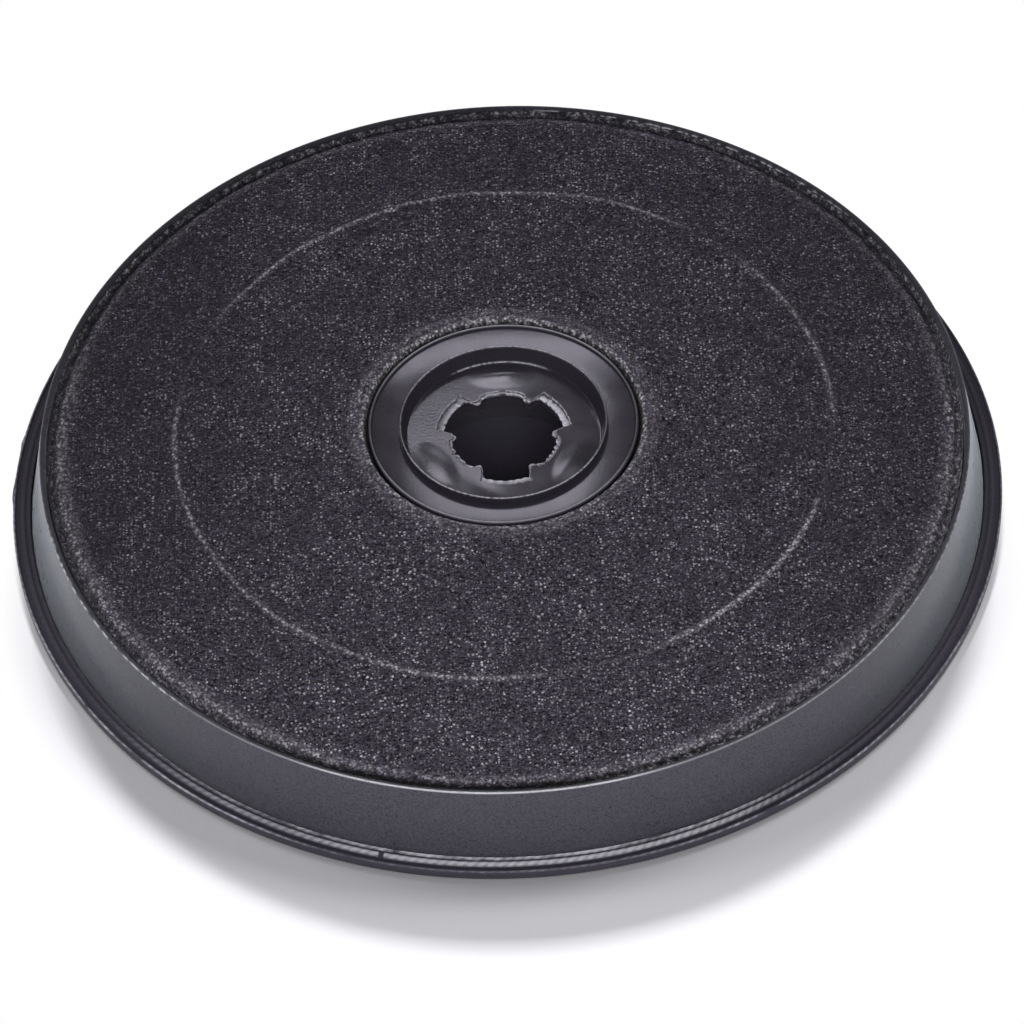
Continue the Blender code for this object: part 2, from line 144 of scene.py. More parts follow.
# Hub
LIP_RADIUS = 0.0243
RECESS_RADIUS = 0.0238
RECESS_FOOT = 0.0227
PLATE_TOP = 0.0194
PLATE_BOTTOM = 0.0164
FLANGE_SURFACE = 0.0218
FLANGE_RISE = 0.0006
FLANGE_THICKNESS = 0.0014
FLANGE_BEAD_WIDTH = 0.0009
FLANGE_BEAD_TOP = 0.0232
SKIRT_RADIUS = 0.0226
SKIRT_BORE = 0.0212
LOBES = 3
FIRST_LOBE = 30.0
LOBE_RADIUS = 0.0158
LOBE_HALF_ANGLE = 22.0
LOBE_LEDGE = 0.0016
LOBE_LEDGE_DROP = 0.0007
LOBE_LEDGE_SPREAD = 1.0
LOBE_LEDGE_FADE = 0.3
NECK_RADIUS = 0.0125
NECK_LEDGE = 0.0007
NECK_LEDGE_DROP = 0.0003
TOOTH_OFFSET = 9.0
TOOTH_RADIUS = 0.0011
TOOTH_REACH = 0.0012
TOOTH_NOSE_ANGLE = 75.0
HOLE_RAGGED = 0.00016
RAGGED_LENGTH = 0.0016
PAD_RADIUS = 0.018
PAD_RADIAL_HALF = 0.0039
PAD_LENGTH_HALF = 0.0086
PAD_HEIGHT = 0.0002
PLATE_POINTS = 24
PLATE_STEP = 0.0004
PLATE_SIDE = 0.001
PLATE_MARGIN = 0.0003
HAIR = 0.00002
# The plate's warps: slope, how it runs with x and with y, where it starts and how softly
PLATE_WARPS = ((0.05, -0.6, -0.8, 0.0155, 0.003), (-0.056, 1.0, -0.25, -0.004, 0.01))
HUB_SHARP_ANGLE = math.radians(50)

# Felt: its collar round the hub, the crease over the rib, its shoulder and its weld to the casing
FELT_HOLE = 0.0246
UNDER_FLANGE = 0.0201
COLLAR = 0.0345
CREASE_TOP = 0.0224
CREASE_FOOT = 0.02205
CREASE_WIDTH = 0.0007
SHOULDER = 0.1046
SHOULDER_TOP = 0.0198
WELD_TOP = 0.0188
FELT_THICKNESS = 0.0032
FELT_CLAMPED = 0.0018
UNDER_SHOULDER = 0.0012
UNDER_CLAMP = 0.0306
# Radius and height of each knot of the upper side
FELT_KNOTS = np.array([
    (FELT_HOLE, UNDER_FLANGE),
    (0.0313, UNDER_FLANGE + 0.0005),
    (0.032, 0.0212),
    (0.0324, 0.023),
    (0.0328, COLLAR_TOP - 0.0002),
    (COLLAR, COLLAR_TOP),
    (0.036, COLLAR_TOP - 0.00022),
    (0.04, COLLAR_TOP - 0.0005),
    (RIB_RADIUS, CREASE_FOOT),
    (SHOULDER - 0.003, SHOULDER_TOP + 0.00025),
    (SHOULDER - 0.001, SHOULDER_TOP + 0.00022),
    (SHOULDER, SHOULDER_TOP),
    (SHOULDER + 0.0007, SHOULDER_TOP - 0.0006),
    (SHOULDER + 0.0012, WELD_TOP),
    (FELT_RADIUS - 0.0006, WELD_TOP + 0.0002),
    (FELT_RADIUS, WELD_TOP + 0.0017),
])
# Wavelength, height, seed and count of the waves, and the radii where they start and end
BROAD_WAVES = ((0.032, 0.00016, 11, 24), (0.012, 0.00006, 12, 24))
LUMP_WAVES = ((0.0042, 0.00005, 13, 40), (0.0022, 0.00003, 14, 60))
RELIEF_STARTS = (0.0318, 0.0345)
RELIEF_ENDS = (SHOULDER, 0.106)

# Fibres: their places as ranges, or as a mean radius and its spread
FIBRES = 30000
FIBRE_WIDTH = 0.00007
FIBRE_LENGTHS = (0.0008, 0.0024)
FIBRE_LIFTS = (0.00005, 0.00022)
FIBRES_ALL_OVER = 24000
FIBRES_ON_COLLAR = 2100
FIBRE_RANGE = (0.033, 0.1052)
FIBRE_LIMITS = (0.0325, 0.1056)
COLLAR_FIBRES = (COLLAR - 0.0004, 0.0007)
SHOULDER_FIBRES = (SHOULDER - 0.001, 0.0012)
COMBED_HUB = (0.04, 0.06)
COMBED_EDGE = (SHOULDER - 0.005, SHOULDER - 0.001)

# Steps of the turned pieces
CASING_STEPS = 1080
BASE_STEPS = 288
HUB_STEPS = 720
FELT_STEPS = 600
ROUND_STEPS = 4
CORNER_SHARE = 0.45
# Distance between the felt's rings, and zones from one radius to another that have their own
RING_STEP = 0.00062
RING_ZONES = (
    (0.031, 0.0365, 0.0003),
    (SHOULDER - 0.003, FELT_RADIUS, 0.0003),
    (RIB_RADIUS - 0.0016, RIB_RADIUS + 0.0016, 0.00025),
    (0.0, 0.0305, 0.002),
)

# Lines of painted highlight and painted shade: the radius and half width of each, and of some the height
# where they end
EDGE_LINE = (WALL_TOP_RADIUS, 0.00025, CASING_TOP - 0.0004)
INNER_EDGE_LINE = (WALL_TOP_INNER, 0.0002, CASING_TOP - TOP_FACE_DEPTH)
SHADE_START = 0.0001
SHADE_FADE = 0.0003
CREST_LINE = (GUTTER_RADIUS + CREST_WIDTH / 2, 0.00045, CREST_HEIGHT - 0.00015)
RIM_BEAD_LINE = (BEAD_RADIUS, 0.00045, VALLEY_HEIGHT + 0.0001)
RIM_LIP_LINE = (BASE_RADIUS - 0.0001, 0.00025, LIP_HEIGHT - 0.0003)
VALLEY_LINE = (VALLEY_RADIUS, 0.00025)
GROOVE_LINE = (BASE_RADIUS - LIP_WIDTH - GROOVE_WIDTH / 2, 0.0005)
HUB_LIP_LINE = ((RECESS_RADIUS + LIP_RADIUS) / 2, 0.00022, HUB_TOP - 0.00015)
HUB_BEAD_LINE = (FLANGE_RADIUS - FLANGE_BEAD_WIDTH / 2, 0.00028, FLANGE_BEAD_TOP - 0.00015)
FOOT_LINE = (RECESS_FOOT, 0.0002)
FOOT_DEPTH = 0.0002
HOLE_LINE = 0.00018
LEDGE_LINE = 0.00014
LEDGE_OFF = 0.0001
LEDGE_MARGIN = 0.00025
SKIRT_MARGIN = 0.0004
CREASE_LINE = (RIB_RADIUS, 0.0005)
COLLAR_INNER_LINE = COLLAR - 0.0012
COLLAR_LINE = 0.00045
COLLAR_LINE_GROWTH = 0.00012
COLLAR_LINE_SHIFT = 0.0003
COLLAR_FUZZ_HIGHLIGHT = (COLLAR + 0.0004, 0.0013)
COLLAR_OUTER_LINE = (COLLAR + 0.0002, 0.00032)
SHOULDER_LINE = (SHOULDER - 0.0006, 0.0008)
SHOULDER_BAND = (SHOULDER - 0.0016, 0.0014)
WELD_LINE = (SHOULDER + 0.0012, 0.0004)
FELT_EDGE_LINE = (FELT_RADIUS, 0.0004)
# Length of the dashes that break the lines up
EDGE_DASH = 0.0017
RIM_DASH = 0.002
HUB_DASH = 0.0013
LEDGE_DASH = 0.0011
FELT_DOTS = 0.0015
# Sectors of painted highlight and painted shade: start, end and fade of a sector in degrees, and often its
# gain
EDGE_HIGHLIGHT_FRONT = ((245, 284, 14, 0.8), (225, 330, 24, 0.25))
EDGE_HIGHLIGHT_SIDES = ((190, 226, 8, 1.0), (314, 352, 12, 0.4))
INNER_EDGE_HIGHLIGHT = (38, 82, 16)
WALL_SHADE = ((235, 300, 20, 0.7), (20, 165, 30, 0.3))
RIM_HIGHLIGHT_FRONT = ((226, 300, 24, 0.5), (248, 296, 16, 0.47))
RIM_HIGHLIGHT_SIDES = ((150, 240, 25, 0.7), (290, 380, 25, 0.3))
RIM_SHADE = ((222, 318, 24, 0.75),)
HUB_HIGHLIGHT_ENDS = ((35, 150, 30, 1.0), (205, 330, 30, 1.0))
FOOT_HIGHLIGHT = (62, 118, 10)
UPPER_LEFT = (95, 195, 30)
RIGHT_ARC = (284, 370, 20)
LEFT_ARC = (165, 242, 20)
BACK_ARC = (15, 165, 20)
SHOULDER_FUZZ_HIGHLIGHT = ((235, 290, 20, 0.4), (*RIGHT_ARC, 0.6), (*LEFT_ARC, 0.45), (*BACK_ARC, 0.25))
# Start, end and gain of the crease's painted highlight stretches
CREASE_HIGHLIGHT = ((225, 272, 0.5), (295, 336, 0.85), (55, 147, 0.5), (0, 37, 0.45), (172, 225, 0.4))
CREASE_FADE = 4
# Ranges of y, x or radius over which a mark grows
NEAR_SIDE = (-0.03, 0.0)
FAR_SIDE = (-0.015, 0.01)
SIDE_SHADE_LEFT = (0.03, 0.095)
SIDE_SHADE_RIGHT = (0.03, 0.09)
SIDE_SHADE_FRONT = (-0.1, -0.05)
SIDE_SHADE_BACK = (0.0, 0.08)
HUB_SHADE = (COLLAR - 0.0021, COLLAR - 0.0018)
SHOULDER_SHADE = (SHOULDER - 0.0001, SHOULDER + 0.0006)

# Plastics: colour, roughness, size, depth and share of the grain, and the colour of their painted highlights
CASING_FINISH = ((0.037, 0.0343, 0.045), 0.28, 0.00045, 0.00003, 0.95, (0.54, 0.53, 0.57))
BASE_FINISH = ((0.047, 0.0425, 0.058), 0.36, 0.0006, 0.00002, 0.15, (0.44, 0.43, 0.48))
HUB_FINISH = ((0.0235, 0.0213, 0.029), 0.14, 0.0006, 0.00001, 0.25, (0.42, 0.41, 0.46))
CASING_DUST = 0.46
CASING_DUST_ROUGHNESS = 0.39
CASING_DUST_TINT = (0.84, 0.93, 1.0, 1.0)
FELT_COLOUR = (0.0235, 0.0208, 0.0295)
FELT_HIGHLIGHT = (0.56, 0.54, 0.58, 1.0)
FIBRE_END_GLINT = (0.63, 0.61, 0.66, 1.0)
LINER_COLOUR = (0.03, 0.029, 0.034)
CARBON_COLOUR = (0.012, 0.012, 0.013)

# Sizes of the materials' patterns, in metres
CLOUD_SIZE = 0.03
FLECK_SIZE = 0.0011
HIGHLIGHT_BREAKUP_SIZE = 0.0005
SMEAR_SIZE = 0.007
SINK_SIZE = 0.012
SINK_DEPTH = 0.00001
LUMP_SIZE = 0.00058
STROKE_TURNS = (0.2, 0.95, 1.7, 2.5)
STROKE_LENGTH = 0.0015
STROKE_WIDTH = 0.0003
PATCH_SIZE = 0.0085
FIBRE_GLINT_CELLS = (0.00068, 0.00095)
HIGHLIGHT_CELLS = 0.0008
FELT_DEPTH = 0.00035
GRANULE_SIZE = 0.0022
GRANULE_DEPTH = 0.001

# Camera, from the rings that the photograph shows
CAMERA_DISTANCE = 1.2
CAMERA_ELEVATION = math.radians(48.3)
CAMERA_ROLL = math.radians(-3.04)
CAMERA_AIM = Vector((0.00092, -0.00422, -0.00376))
SENSOR = 36.0
LENS = 178.54

# Light. Each soft lamp: name, elevation, azimuth, distance, size, share of the light on level ground
WORLD_LEVEL = 0.1
WORLD_TINT = (0.98, 0.99, 1.02)
REFLECTED_LEVEL = 0.22
FLOOR_LAMPS = (
    ("back_key", 39.6, 0, 3.0, (0.6, 0.3), 0.55),
    ("back_left", 50, -42, 3.0, (1.0, 0.7), 0.13),
    ("back_right", 49, 42, 3.0, (1.0, 0.7), 0.21),
    ("front_top", 60, 180, 3.0, (1.5, 1.0), 0.16),
)
FILTER_LAMPS = (
    ("front_low", 42, 175, 0.5, (0.4, 0.2), 0.5),
    ("left_soft", 35, -85, 2.0, (1.2, 0.6), 0.14),
    ("right_soft", 35, 85, 2.0, (1.2, 0.6), 0.05),
    ("back_soft", 45, 0, 2.0, (1.4, 0.6), 0.07),
)
# Each glint, which only glosses show: name, elevation, azimuth, distance, size, radiance
GLINTS = (
    ("glint_near", 36.5, 0, 1.6, (0.34, 0.32), 4.1),
    ("glint_plate", 52.0, -2.75, 1.6, (0.25, 0.22), 6.6),
    ("glint_far", 60.0, 0, 1.6, (0.62, 0.22), 5.4),
)
GLINT_TINT = (0.89, 0.85, 1.0)
FLOOR_SIZE = 6.0
FLOOR_LIFT = 0.00003
FLOOR_COLOUR = (0.955, 0.95, 0.985)
FADE_MIDDLE = (0.0, -0.035, 0.0)
FLOOR_FADE = (0.11, 0.121)


def rounded(corners):
    """A closed profile from corners of (radius, height), some with a rounding of their own."""
    points = []
    for index, (radius, height, *own) in enumerate(corners):
        corner = Vector((radius, height))
        rounding = own[0] if own else SMALL_ROUND
        if not rounding:
            points.append((radius, height))
            continue
        before = Vector(corners[index - 1][:2]) - corner
        after = Vector(corners[(index + 1) % len(corners)][:2]) - corner
        half = before.angle(after) / 2
        shortest = min(before.length, after.length)
        reach = min(rounding / math.tan(half), CORNER_SHARE * shortest)
        middle = corner + (before.normalized() + after.normalized()).normalized() * reach / math.cos(half)
        start = corner + before.normalized() * reach - middle
        end = corner + after.normalized() * reach - middle
        for step in range(ROUND_STEPS + 1):
            spoke = start.lerp(end, step / ROUND_STEPS).normalized() * start.length
            points.append(tuple(middle + spoke))
    return points


def axes(points):
    """The x, y and z of an array of points, each as an array."""
    return np.moveaxis(points, -1, 0)


def link(item):
    bpy.context.scene.collection.objects.link(item)


def even_angles(steps):
    return np.arange(steps) * 2 * math.pi / steps


def turned_grid(profile, angles):
    """A profile, or one for each angle, turned round the Z axis, as grid[angle][point]."""
    profile = np.array(profile)
    grid = np.empty((len(angles), profile.shape[-2], 3))
    grid[..., 0] = np.cos(angles)[:, None] * profile[..., 0]
    grid[..., 1] = np.sin(angles)[:, None] * profile[..., 0]
    grid[..., 2] = profile[..., 1]
    return grid


def grid_faces(steps, count, closed):
    """Quads between neighbouring angles and points; the profile runs outwards along the top."""
    last = count if closed else count - 1
    angle, point = np.meshgrid(np.arange(steps), np.arange(last), indexing="ij")
    next_angle = (angle + 1) % steps
    next_point = (point + 1) % count
    corners = ((angle, point), (angle, next_point), (next_angle, next_point), (next_angle, point))
    return np.stack([step * count + place for step, place in corners], axis=-1).reshape(-1, 4)


def add_piece(name, vertices, faces, look):
    mesh = bpy.data.meshes.new(name)
    mesh.from_pydata(vertices, [], faces)
    mesh.materials.append(look)
    mesh.shade_smooth()
    piece = bpy.data.objects.new(name, mesh)
    link(piece)
    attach(piece, BODY)
    return piece


def add_grid(name, grid, look):
    steps, count, _ = grid.shape
    return add_piece(name, grid.reshape(-1, 3), grid_faces(steps, count, True), look)


def waves(x, y, wavelength, seed, count=24):
    """Smooth random field of about unit height: plane waves of about that length in all directions."""
    draw = np.random.default_rng(seed)
    total = np.zeros_like(x)
    for _ in range(count):
        heading = draw.uniform(0, 2 * math.pi)
        number = 2 * math.pi / (wavelength * draw.uniform(0.75, 1.3))
        phase = draw.uniform(0, 2 * math.pi)
        total += np.sin(number * (x * math.cos(heading) + y * math.sin(heading)) + phase)
    return total * math.sqrt(2 / count)


def smooth_step(value, low, high):
    share = np.clip((value - low) / (high - low), 0, 1)
    return share * share * (3 - 2 * share)


def band(value, middle, width):
    """1 at a value, falling to 0 about a width away."""
    return np.exp(-((value - middle) / width) ** 2)


def crest_line(radius, z, middle, width, lowest):
    """A line along a crest, above a height."""
    return band(radius, middle, width) * (z > lowest)


def sector(angle, start, end, fade):
    """1 between two angles, which are in degrees, with soft ends."""
    off = np.abs((np.degrees(angle) - (start + end) / 2 + 180) % 360 - 180)
    half = (end - start) / 2
    return 1 - smooth_step(off, half - fade / 2, half + fade / 2)


def stretches(angle, base, parts):
    """A base value, and more of it in some sectors: start, end, fade and gain of each."""
    total = base
    for start, end, fade, gain in parts:
        total = total + gain * sector(angle, start, end, fade)
    return total


def mark(piece, name, values):
    """Writes one number for each point of a piece, for its material to read."""
    layer = piece.data.attributes.new(name, "FLOAT", "POINT")
    layer.data.foreach_set("value", np.clip(values, 0, 1).astype(np.float32).ravel())


class Look:
    """A Principled material; each method adds one node and gives its output."""

    def __init__(self, name, roughness):
        self.material = bpy.data.materials.new(name)
        self.material.use_nodes = True
        self.tree = self.material.node_tree
        self.shader = self.tree.nodes["Principled BSDF"]
        self.put("Roughness", roughness)
        self.place = self.node("TexCoord").outputs["Object"]

    def plug(self, socket, value):
        """Links an output to a socket, or sets a plain value on it."""
        if isinstance(value, bpy.types.NodeSocket):
            self.tree.links.new(value, socket)
        else:
            socket.default_value = value

    def put(self, name, value):
        self.plug(self.shader.inputs[name], value)

    def node(self, kind, inputs=(), **settings):
        made = self.tree.nodes.new("ShaderNode" + kind)
        for key, value in settings.items():
            setattr(made, key, value)
        for key, value in dict(inputs).items():
            self.plug(made.inputs[key], value)
        return made

    def noise(self, size, detail=2.0, place=None):
        """Noise whose features are about that size in metres."""
        inputs = {"Vector": place or self.place, "Scale": 1 / size, "Detail": detail}
        return self.node("TexNoise", inputs).outputs["Fac"]

    def cells(self, size):
        """Voronoi cells of that size: the distance to the cell's middle, and its random colour."""
        made = self.node("TexVoronoi", {"Vector": self.place, "Scale": 1 / size})
        return made.outputs["Distance"], made.outputs["Color"]

    def channel(self, colour):
        """One channel of a colour: an even random number where the colour is random."""
        return self.node("SeparateColor", {"Color": colour}).outputs["Red"]

    def near(self, spot, close, far):
        """1 as far as that close to a spot, falling to 0 at the far distance."""
        made = self.node("VectorMath", {0: self.place, 1: spot}, operation="DISTANCE")
        return self.spread(made.outputs["Value"], close, far, 1.0, 0.0)

    def spread(self, value, low, high, to_low=0.0, to_high=1.0):
        """A smooth ramp from one pair of levels to another."""
        inputs = {"Value": value, "From Min": low, "From Max": high, "To Min": to_low, "To Max": to_high}
        return self.node("MapRange", inputs, interpolation_type="SMOOTHSTEP").outputs["Result"]

    def maths(self, operation, first, second):
        return self.node("Math", {0: first, 1: second}, operation=operation).outputs["Value"]

    def times(self, first, second):
        return self.maths("MULTIPLY", first, second)

    def mix(self, share, first, second):
        made = self.node("Mix", {"Factor": share, 6: first, 7: second}, data_type="RGBA")
        return made.outputs[2]

    def stretched(self, turn, along, across):
        """The place, turned about Z and squeezed, so that what is drawn with it comes out stretched."""
        scale = (1 / along, 1 / across, 1 / across)
        inputs = {"Vector": self.place, "Rotation": (0, 0, turn), "Scale": scale}
        return self.node("Mapping", inputs).outputs["Vector"]

    def hatch(self, count, turn):
        """Slanting dashes round the Z axis, 0 to 1, that many in all."""
        split = self.node("SeparateXYZ", {"Vector": self.place}).outputs
        angle = self.maths("ARCTAN2", split["Y"], split["X"])
        length = self.node("VectorMath", {0: self.place}, operation="LENGTH").outputs["Value"]
        phase = self.maths("ADD", self.times(angle, count), self.times(length, turn))
        return self.spread(self.maths("SINE", phase, 0.0), -0.6, 0.5)

    def attribute(self, name):
        return self.node("Attribute", attribute_name=name).outputs["Fac"]

    def bump(self, height, depth, below=None):
        """Bump of that depth in metres, on top of another one."""
        made = self.node("Bump", {"Height": height, "Distance": depth})
        if below is not None:
            self.plug(made.inputs["Normal"], below)
        return made.outputs["Normal"]


def shaded(colour, factor):
    return (colour[0] * factor, colour[1] * factor, colour[2] * factor, 1.0)


def plastic(name, colour, roughness, size, depth, share, painted_highlight):
    """Moulded plastic: cloudy tone, fine speckle, dark and pale flecks, and painted shade and painted
    highlights where its piece marks them.
    """
    look = Look(name, roughness)
    cloud = look.spread(look.noise(CLOUD_SIZE), 0.35, 0.65)
    tone = look.mix(cloud, shaded(colour, 0.94), shaded(colour, 1.06))
    speckle = look.noise(size)
    pale_speckle = look.times(look.spread(speckle, 0.3, 0.7), share)
    tone = look.mix(pale_speckle, tone, shaded(colour, 1.9))
    tone = look.mix(look.spread(speckle, 0.26, 0.36, share, 0.0), tone, shaded(colour, 0.35))
    distance, random = look.cells(FLECK_SIZE)
    fleck = look.times(look.spread(distance, 0.1, 0.22, 1.0, 0.0), look.spread(random, 0.86, 0.9))
    tone = look.mix(look.times(fleck, 0.3), tone, shaded(colour, 2.4))
    painted_shading = look.spread(look.noise(HIGHLIGHT_BREAKUP_SIZE), 0.3, 0.55, 0.7, 1.0)
    # Painted shade where the piece is marked dark, then painted highlights where it is marked pale, broken
    # up by noise.
    tone = look.mix(look.attribute("dark"), tone, shaded(colour, 0.2))
    tone = look.mix(look.times(look.attribute("pale"), painted_shading), tone, (*painted_highlight, 1.0))
    look.put("Base Color", tone)
    look.put("Roughness", look.spread(look.noise(SMEAR_SIZE), 0.3, 0.7, roughness - 0.02, roughness + 0.03))
    look.put("Normal", look.bump(speckle, depth, look.bump(look.noise(SINK_SIZE), SINK_DEPTH)))
    look.tone = tone
    return look


def casing_plastic(name):
    """The casing's plastic: a fine dust that shows at grazing angles, and one dark chip."""
    look = plastic(name, *CASING_FINISH)
    chip = look.near(CHIP, CHIP_RADIUS / 2, CHIP_RADIUS)
    look.put("Base Color", look.mix(chip, look.tone, shaded(CASING_FINISH[0], 0.15)))
    look.put("Specular IOR Level", 0.2)
    look.put("Sheen Weight", CASING_DUST)
    look.put("Sheen Roughness", CASING_DUST_ROUGHNESS)
    look.put("Sheen Tint", CASING_DUST_TINT)
    return look


def base_plastic(name):
    """The base's plastic: its painted highlight lines are broken up into slanting dashes."""
    look = plastic(name, *BASE_FINISH)
    dashes = look.times(look.attribute("pale"), look.hatch(DASHES, DASH_TURN))
    look.put("Base Color", look.mix(dashes, look.tone, (*BASE_FINISH[-1], 1.0)))
    look.put("Specular IOR Level", 0.25)
    return look


def felt(name, colour, painted_shading=True):
    """Needled felt: dark lumpy ground, short criss-cross strokes and pale fibre ends that are partly painted
    glints; on the cover also painted highlights and painted shade.
    """
    look = Look(name, 0.95)
    look.put("Sheen Weight", 0.08)
    look.put("Sheen Roughness", 0.45)
    look.put("Specular IOR Level", 0.2)
    lumps = look.noise(LUMP_SIZE, 3.0)
    tone = look.mix(look.spread(lumps, 0.37, 0.64), shaded(colour, 0.15), shaded(colour, 2.3))
    strokes = 0.0
    for turn in STROKE_TURNS:
        place = look.stretched(turn, STROKE_LENGTH, STROKE_WIDTH)
        strokes = look.maths("MAXIMUM", strokes, look.spread(look.noise(1.0, 1.0, place), 0.62, 0.7))
    patches = look.spread(look.noise(PATCH_SIZE, 3.0), 0.35, 0.7, 0.45, 1.1)
    tone = look.mix(look.times(strokes, look.times(patches, 0.8)), tone, shaded(colour, 4.4))
    # Fibre ends painted pale: partly their own colour, partly painted glints.
    for size in FIBRE_GLINT_CELLS:
        distance, random = look.cells(size)
        dot = look.spread(distance, 0.18, 0.42, 1.0, 0.0)
        chosen = look.maths("POWER", look.channel(random), 3.0)
        tone = look.mix(look.times(look.times(dot, chosen), patches), tone, FIBRE_END_GLINT)
    # On the cover: painted shade at the sides and back, painted shade round the hub and at the wall, and
    # painted highlight dots.
    if painted_shading:
        tone = look.mix(look.attribute("painted_side_shade"), tone, shaded(colour, 0.55))
        tone = look.mix(look.attribute("dark"), tone, shaded(colour, 0.25))
        distance, _ = look.cells(HIGHLIGHT_CELLS)
        dots = look.spread(distance, 0.25, 0.6, 1.0, 0.12)
        tone = look.mix(look.times(look.attribute("painted_highlight"), dots), tone, FELT_HIGHLIGHT)
    look.put("Base Color", tone)
    height = look.maths("ADD", lumps, look.times(strokes, 0.3))
    look.put("Normal", look.bump(height, FELT_DEPTH))
    return look.material


def carbon(name, colour):
    look = Look(name, 0.6)
    distance, random = look.cells(GRANULE_SIZE)
    look.put("Base Color", look.mix(random, shaded(colour, 0.6), shaded(colour, 1.8)))
    look.put("Normal", look.bump(distance, GRANULE_DEPTH))
    return look.material


def floor_look():
    """Pale matt floor. For the camera alone it runs out into plain white, away from the shadow."""
    look = Look("floor_white", 0.9)
    look.put("Base Color", (*FLOOR_COLOUR, 1.0))
    look.put("Specular IOR Level", 0.0)
    away = look.maths("SUBTRACT", 1.0, look.near(FADE_MIDDLE, *FLOOR_FADE))
    seen = look.node("LightPath").outputs["Is Camera Ray"]
    white = look.node("Emission").outputs["Emission"]
    matt = look.shader.outputs["BSDF"]
    blend = look.node("MixShader", {"Fac": look.times(away, seen), 1: matt, 2: white})
    output = look.tree.nodes["Material Output"]
    look.plug(output.inputs["Surface"], blend.outputs["Shader"])
    return look.material


def casing_profile():
    foot_inner = WALL_FOOT_RADIUS - WALL_THICKNESS
    ledge_bottom = LEDGE_TOP - LEDGE_THICKNESS
    brace_bottom = ledge_bottom - LEDGE_BRACE
    height = CASING_TOP - WALL_FOOT
    share = (brace_bottom - WALL_FOOT) / height
    brace_radius = WALL_FOOT_RADIUS - share * WALL_DRAFT - WALL_THICKNESS
    ledge_radius = WALL_TOP_RADIUS - LEDGE_DEPTH
    return rounded([
        (WALL_TOP_INNER, CASING_TOP - TOP_SLOPE),
        (WALL_TOP_INNER + TOP_INNER_STEP, CASING_TOP - TOP_SLOPE * 0.85, 0),
        (WALL_TOP_RADIUS - TOP_OUTER_STEP, CASING_TOP - TOP_SLOPE * 0.4, 0),
        (WALL_TOP_RADIUS, CASING_TOP),
        (WALL_TOP_RADIUS + WALL_DRAFT * WALL_STEP, CASING_TOP - height * WALL_STEP, 0),
        (WALL_FOOT_RADIUS, WALL_FOOT),
        (foot_inner, WALL_FOOT),
        (brace_radius, brace_bottom),
        (ledge_radius, ledge_bottom),
        (ledge_radius, LEDGE_TOP),
        (WALL_TOP_INNER, LEDGE_TOP),
    ])


def casing_highlight(x, y, z):
    """Painted highlight on the casing's top edge: bright at the front and in dashes at the sides and the
    back.
    """
    angle = np.arctan2(y, x)
    radius = np.hypot(x, y)
    edge = crest_line(radius, z, *EDGE_LINE)
    dashes = np.clip(0.2 + 1.6 * waves(x, y, EDGE_DASH, 33), 0, 1)
    inner = crest_line(radius, z, *INNER_EDGE_LINE) * sector(angle, *INNER_EDGE_HIGHLIGHT)
    front = stretches(angle, 0, EDGE_HIGHLIGHT_FRONT)
    sides = dashes * stretches(angle, 0, EDGE_HIGHLIGHT_SIDES)
    return edge * (0.12 + front + sides) + 0.9 * inner * dashes


def shade_share(angle):
    """How dark the groove between the felt and the wall is: darkest at the front."""
    return stretches(angle, 0.3, WALL_SHADE)


def casing_dark(x, y, z):
    """The casing's top face inside its edge, which lies in the felt's shade."""
    inside = smooth_step(WALL_TOP_RADIUS - SHADE_START - np.hypot(x, y), 0, SHADE_FADE)
    return shade_share(np.arctan2(y, x)) * inside * (z > CASING_TOP - TOP_FACE_DEPTH)


def make_casing(look):
    grid = turned_grid(casing_profile(), even_angles(CASING_STEPS))
    casing = add_grid("casing_wall", grid, look)
    mark(casing, "pale", casing_highlight(*axes(grid)))
    mark(casing, "dark", casing_dark(*axes(grid)))
    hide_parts("casing")


def base_profile():
    groove_outer = BASE_RADIUS - LIP_WIDTH
    groove_inner = groove_outer - GROOVE_WIDTH
    corners = [
        (SLEEVE_BORE, FLOOR_TOP),
        (SLEEVE_BORE, SLEEVE_TOP),
        (SLEEVE_RADIUS, SLEEVE_TOP),
        (SLEEVE_RADIUS, FLOOR_TOP),
        (RIB_RADIUS - RIB_HALF, FLOOR_TOP),
        (RIB_RADIUS - RIB_HALF, RIB_TOP),
        (RIB_RADIUS + RIB_HALF, RIB_TOP),
        (RIB_RADIUS + RIB_HALF, FLOOR_TOP),
        (GUTTER_RADIUS, FLOOR_TOP, 0),
        (GUTTER_RADIUS, CREST_HEIGHT),
        (GUTTER_RADIUS + CREST_WIDTH, CREST_HEIGHT),
        (VALLEY_RADIUS, VALLEY_HEIGHT),
        (BEAD_RADIUS - BEAD_HALF, BEAD_HEIGHT),
        (BEAD_RADIUS + BEAD_HALF, BEAD_HEIGHT),
        (groove_inner, GROOVE_HEIGHT),
        (groove_outer, GROOVE_HEIGHT),
        (groove_outer + LIP_SLOPE, LIP_HEIGHT),
        (BASE_RADIUS, LIP_HEIGHT),
        (BASE_RADIUS, LIP_HEIGHT - SIDE_STEP, 0),
        (BASE_RADIUS, 0.0, EDGE_ROUND),
    ]
    return rounded([(FLOOR_MIDDLE, FLOOR_TOP, 0)] + corners + [(FLOOR_MIDDLE, 0.0, 0)])


def base_angles():
    """Even angles, with closer ones round the nick in the rim."""
    reach = 1.5 * NICK_WIDTH / BASE_RADIUS
    close = NICK_ANGLE + np.linspace(-reach, reach, NICK_STEPS)
    even = even_angles(BASE_STEPS)
    clear = np.abs(even - NICK_ANGLE) > reach + math.pi / BASE_STEPS
    return np.sort(np.concatenate([even[clear], close]))


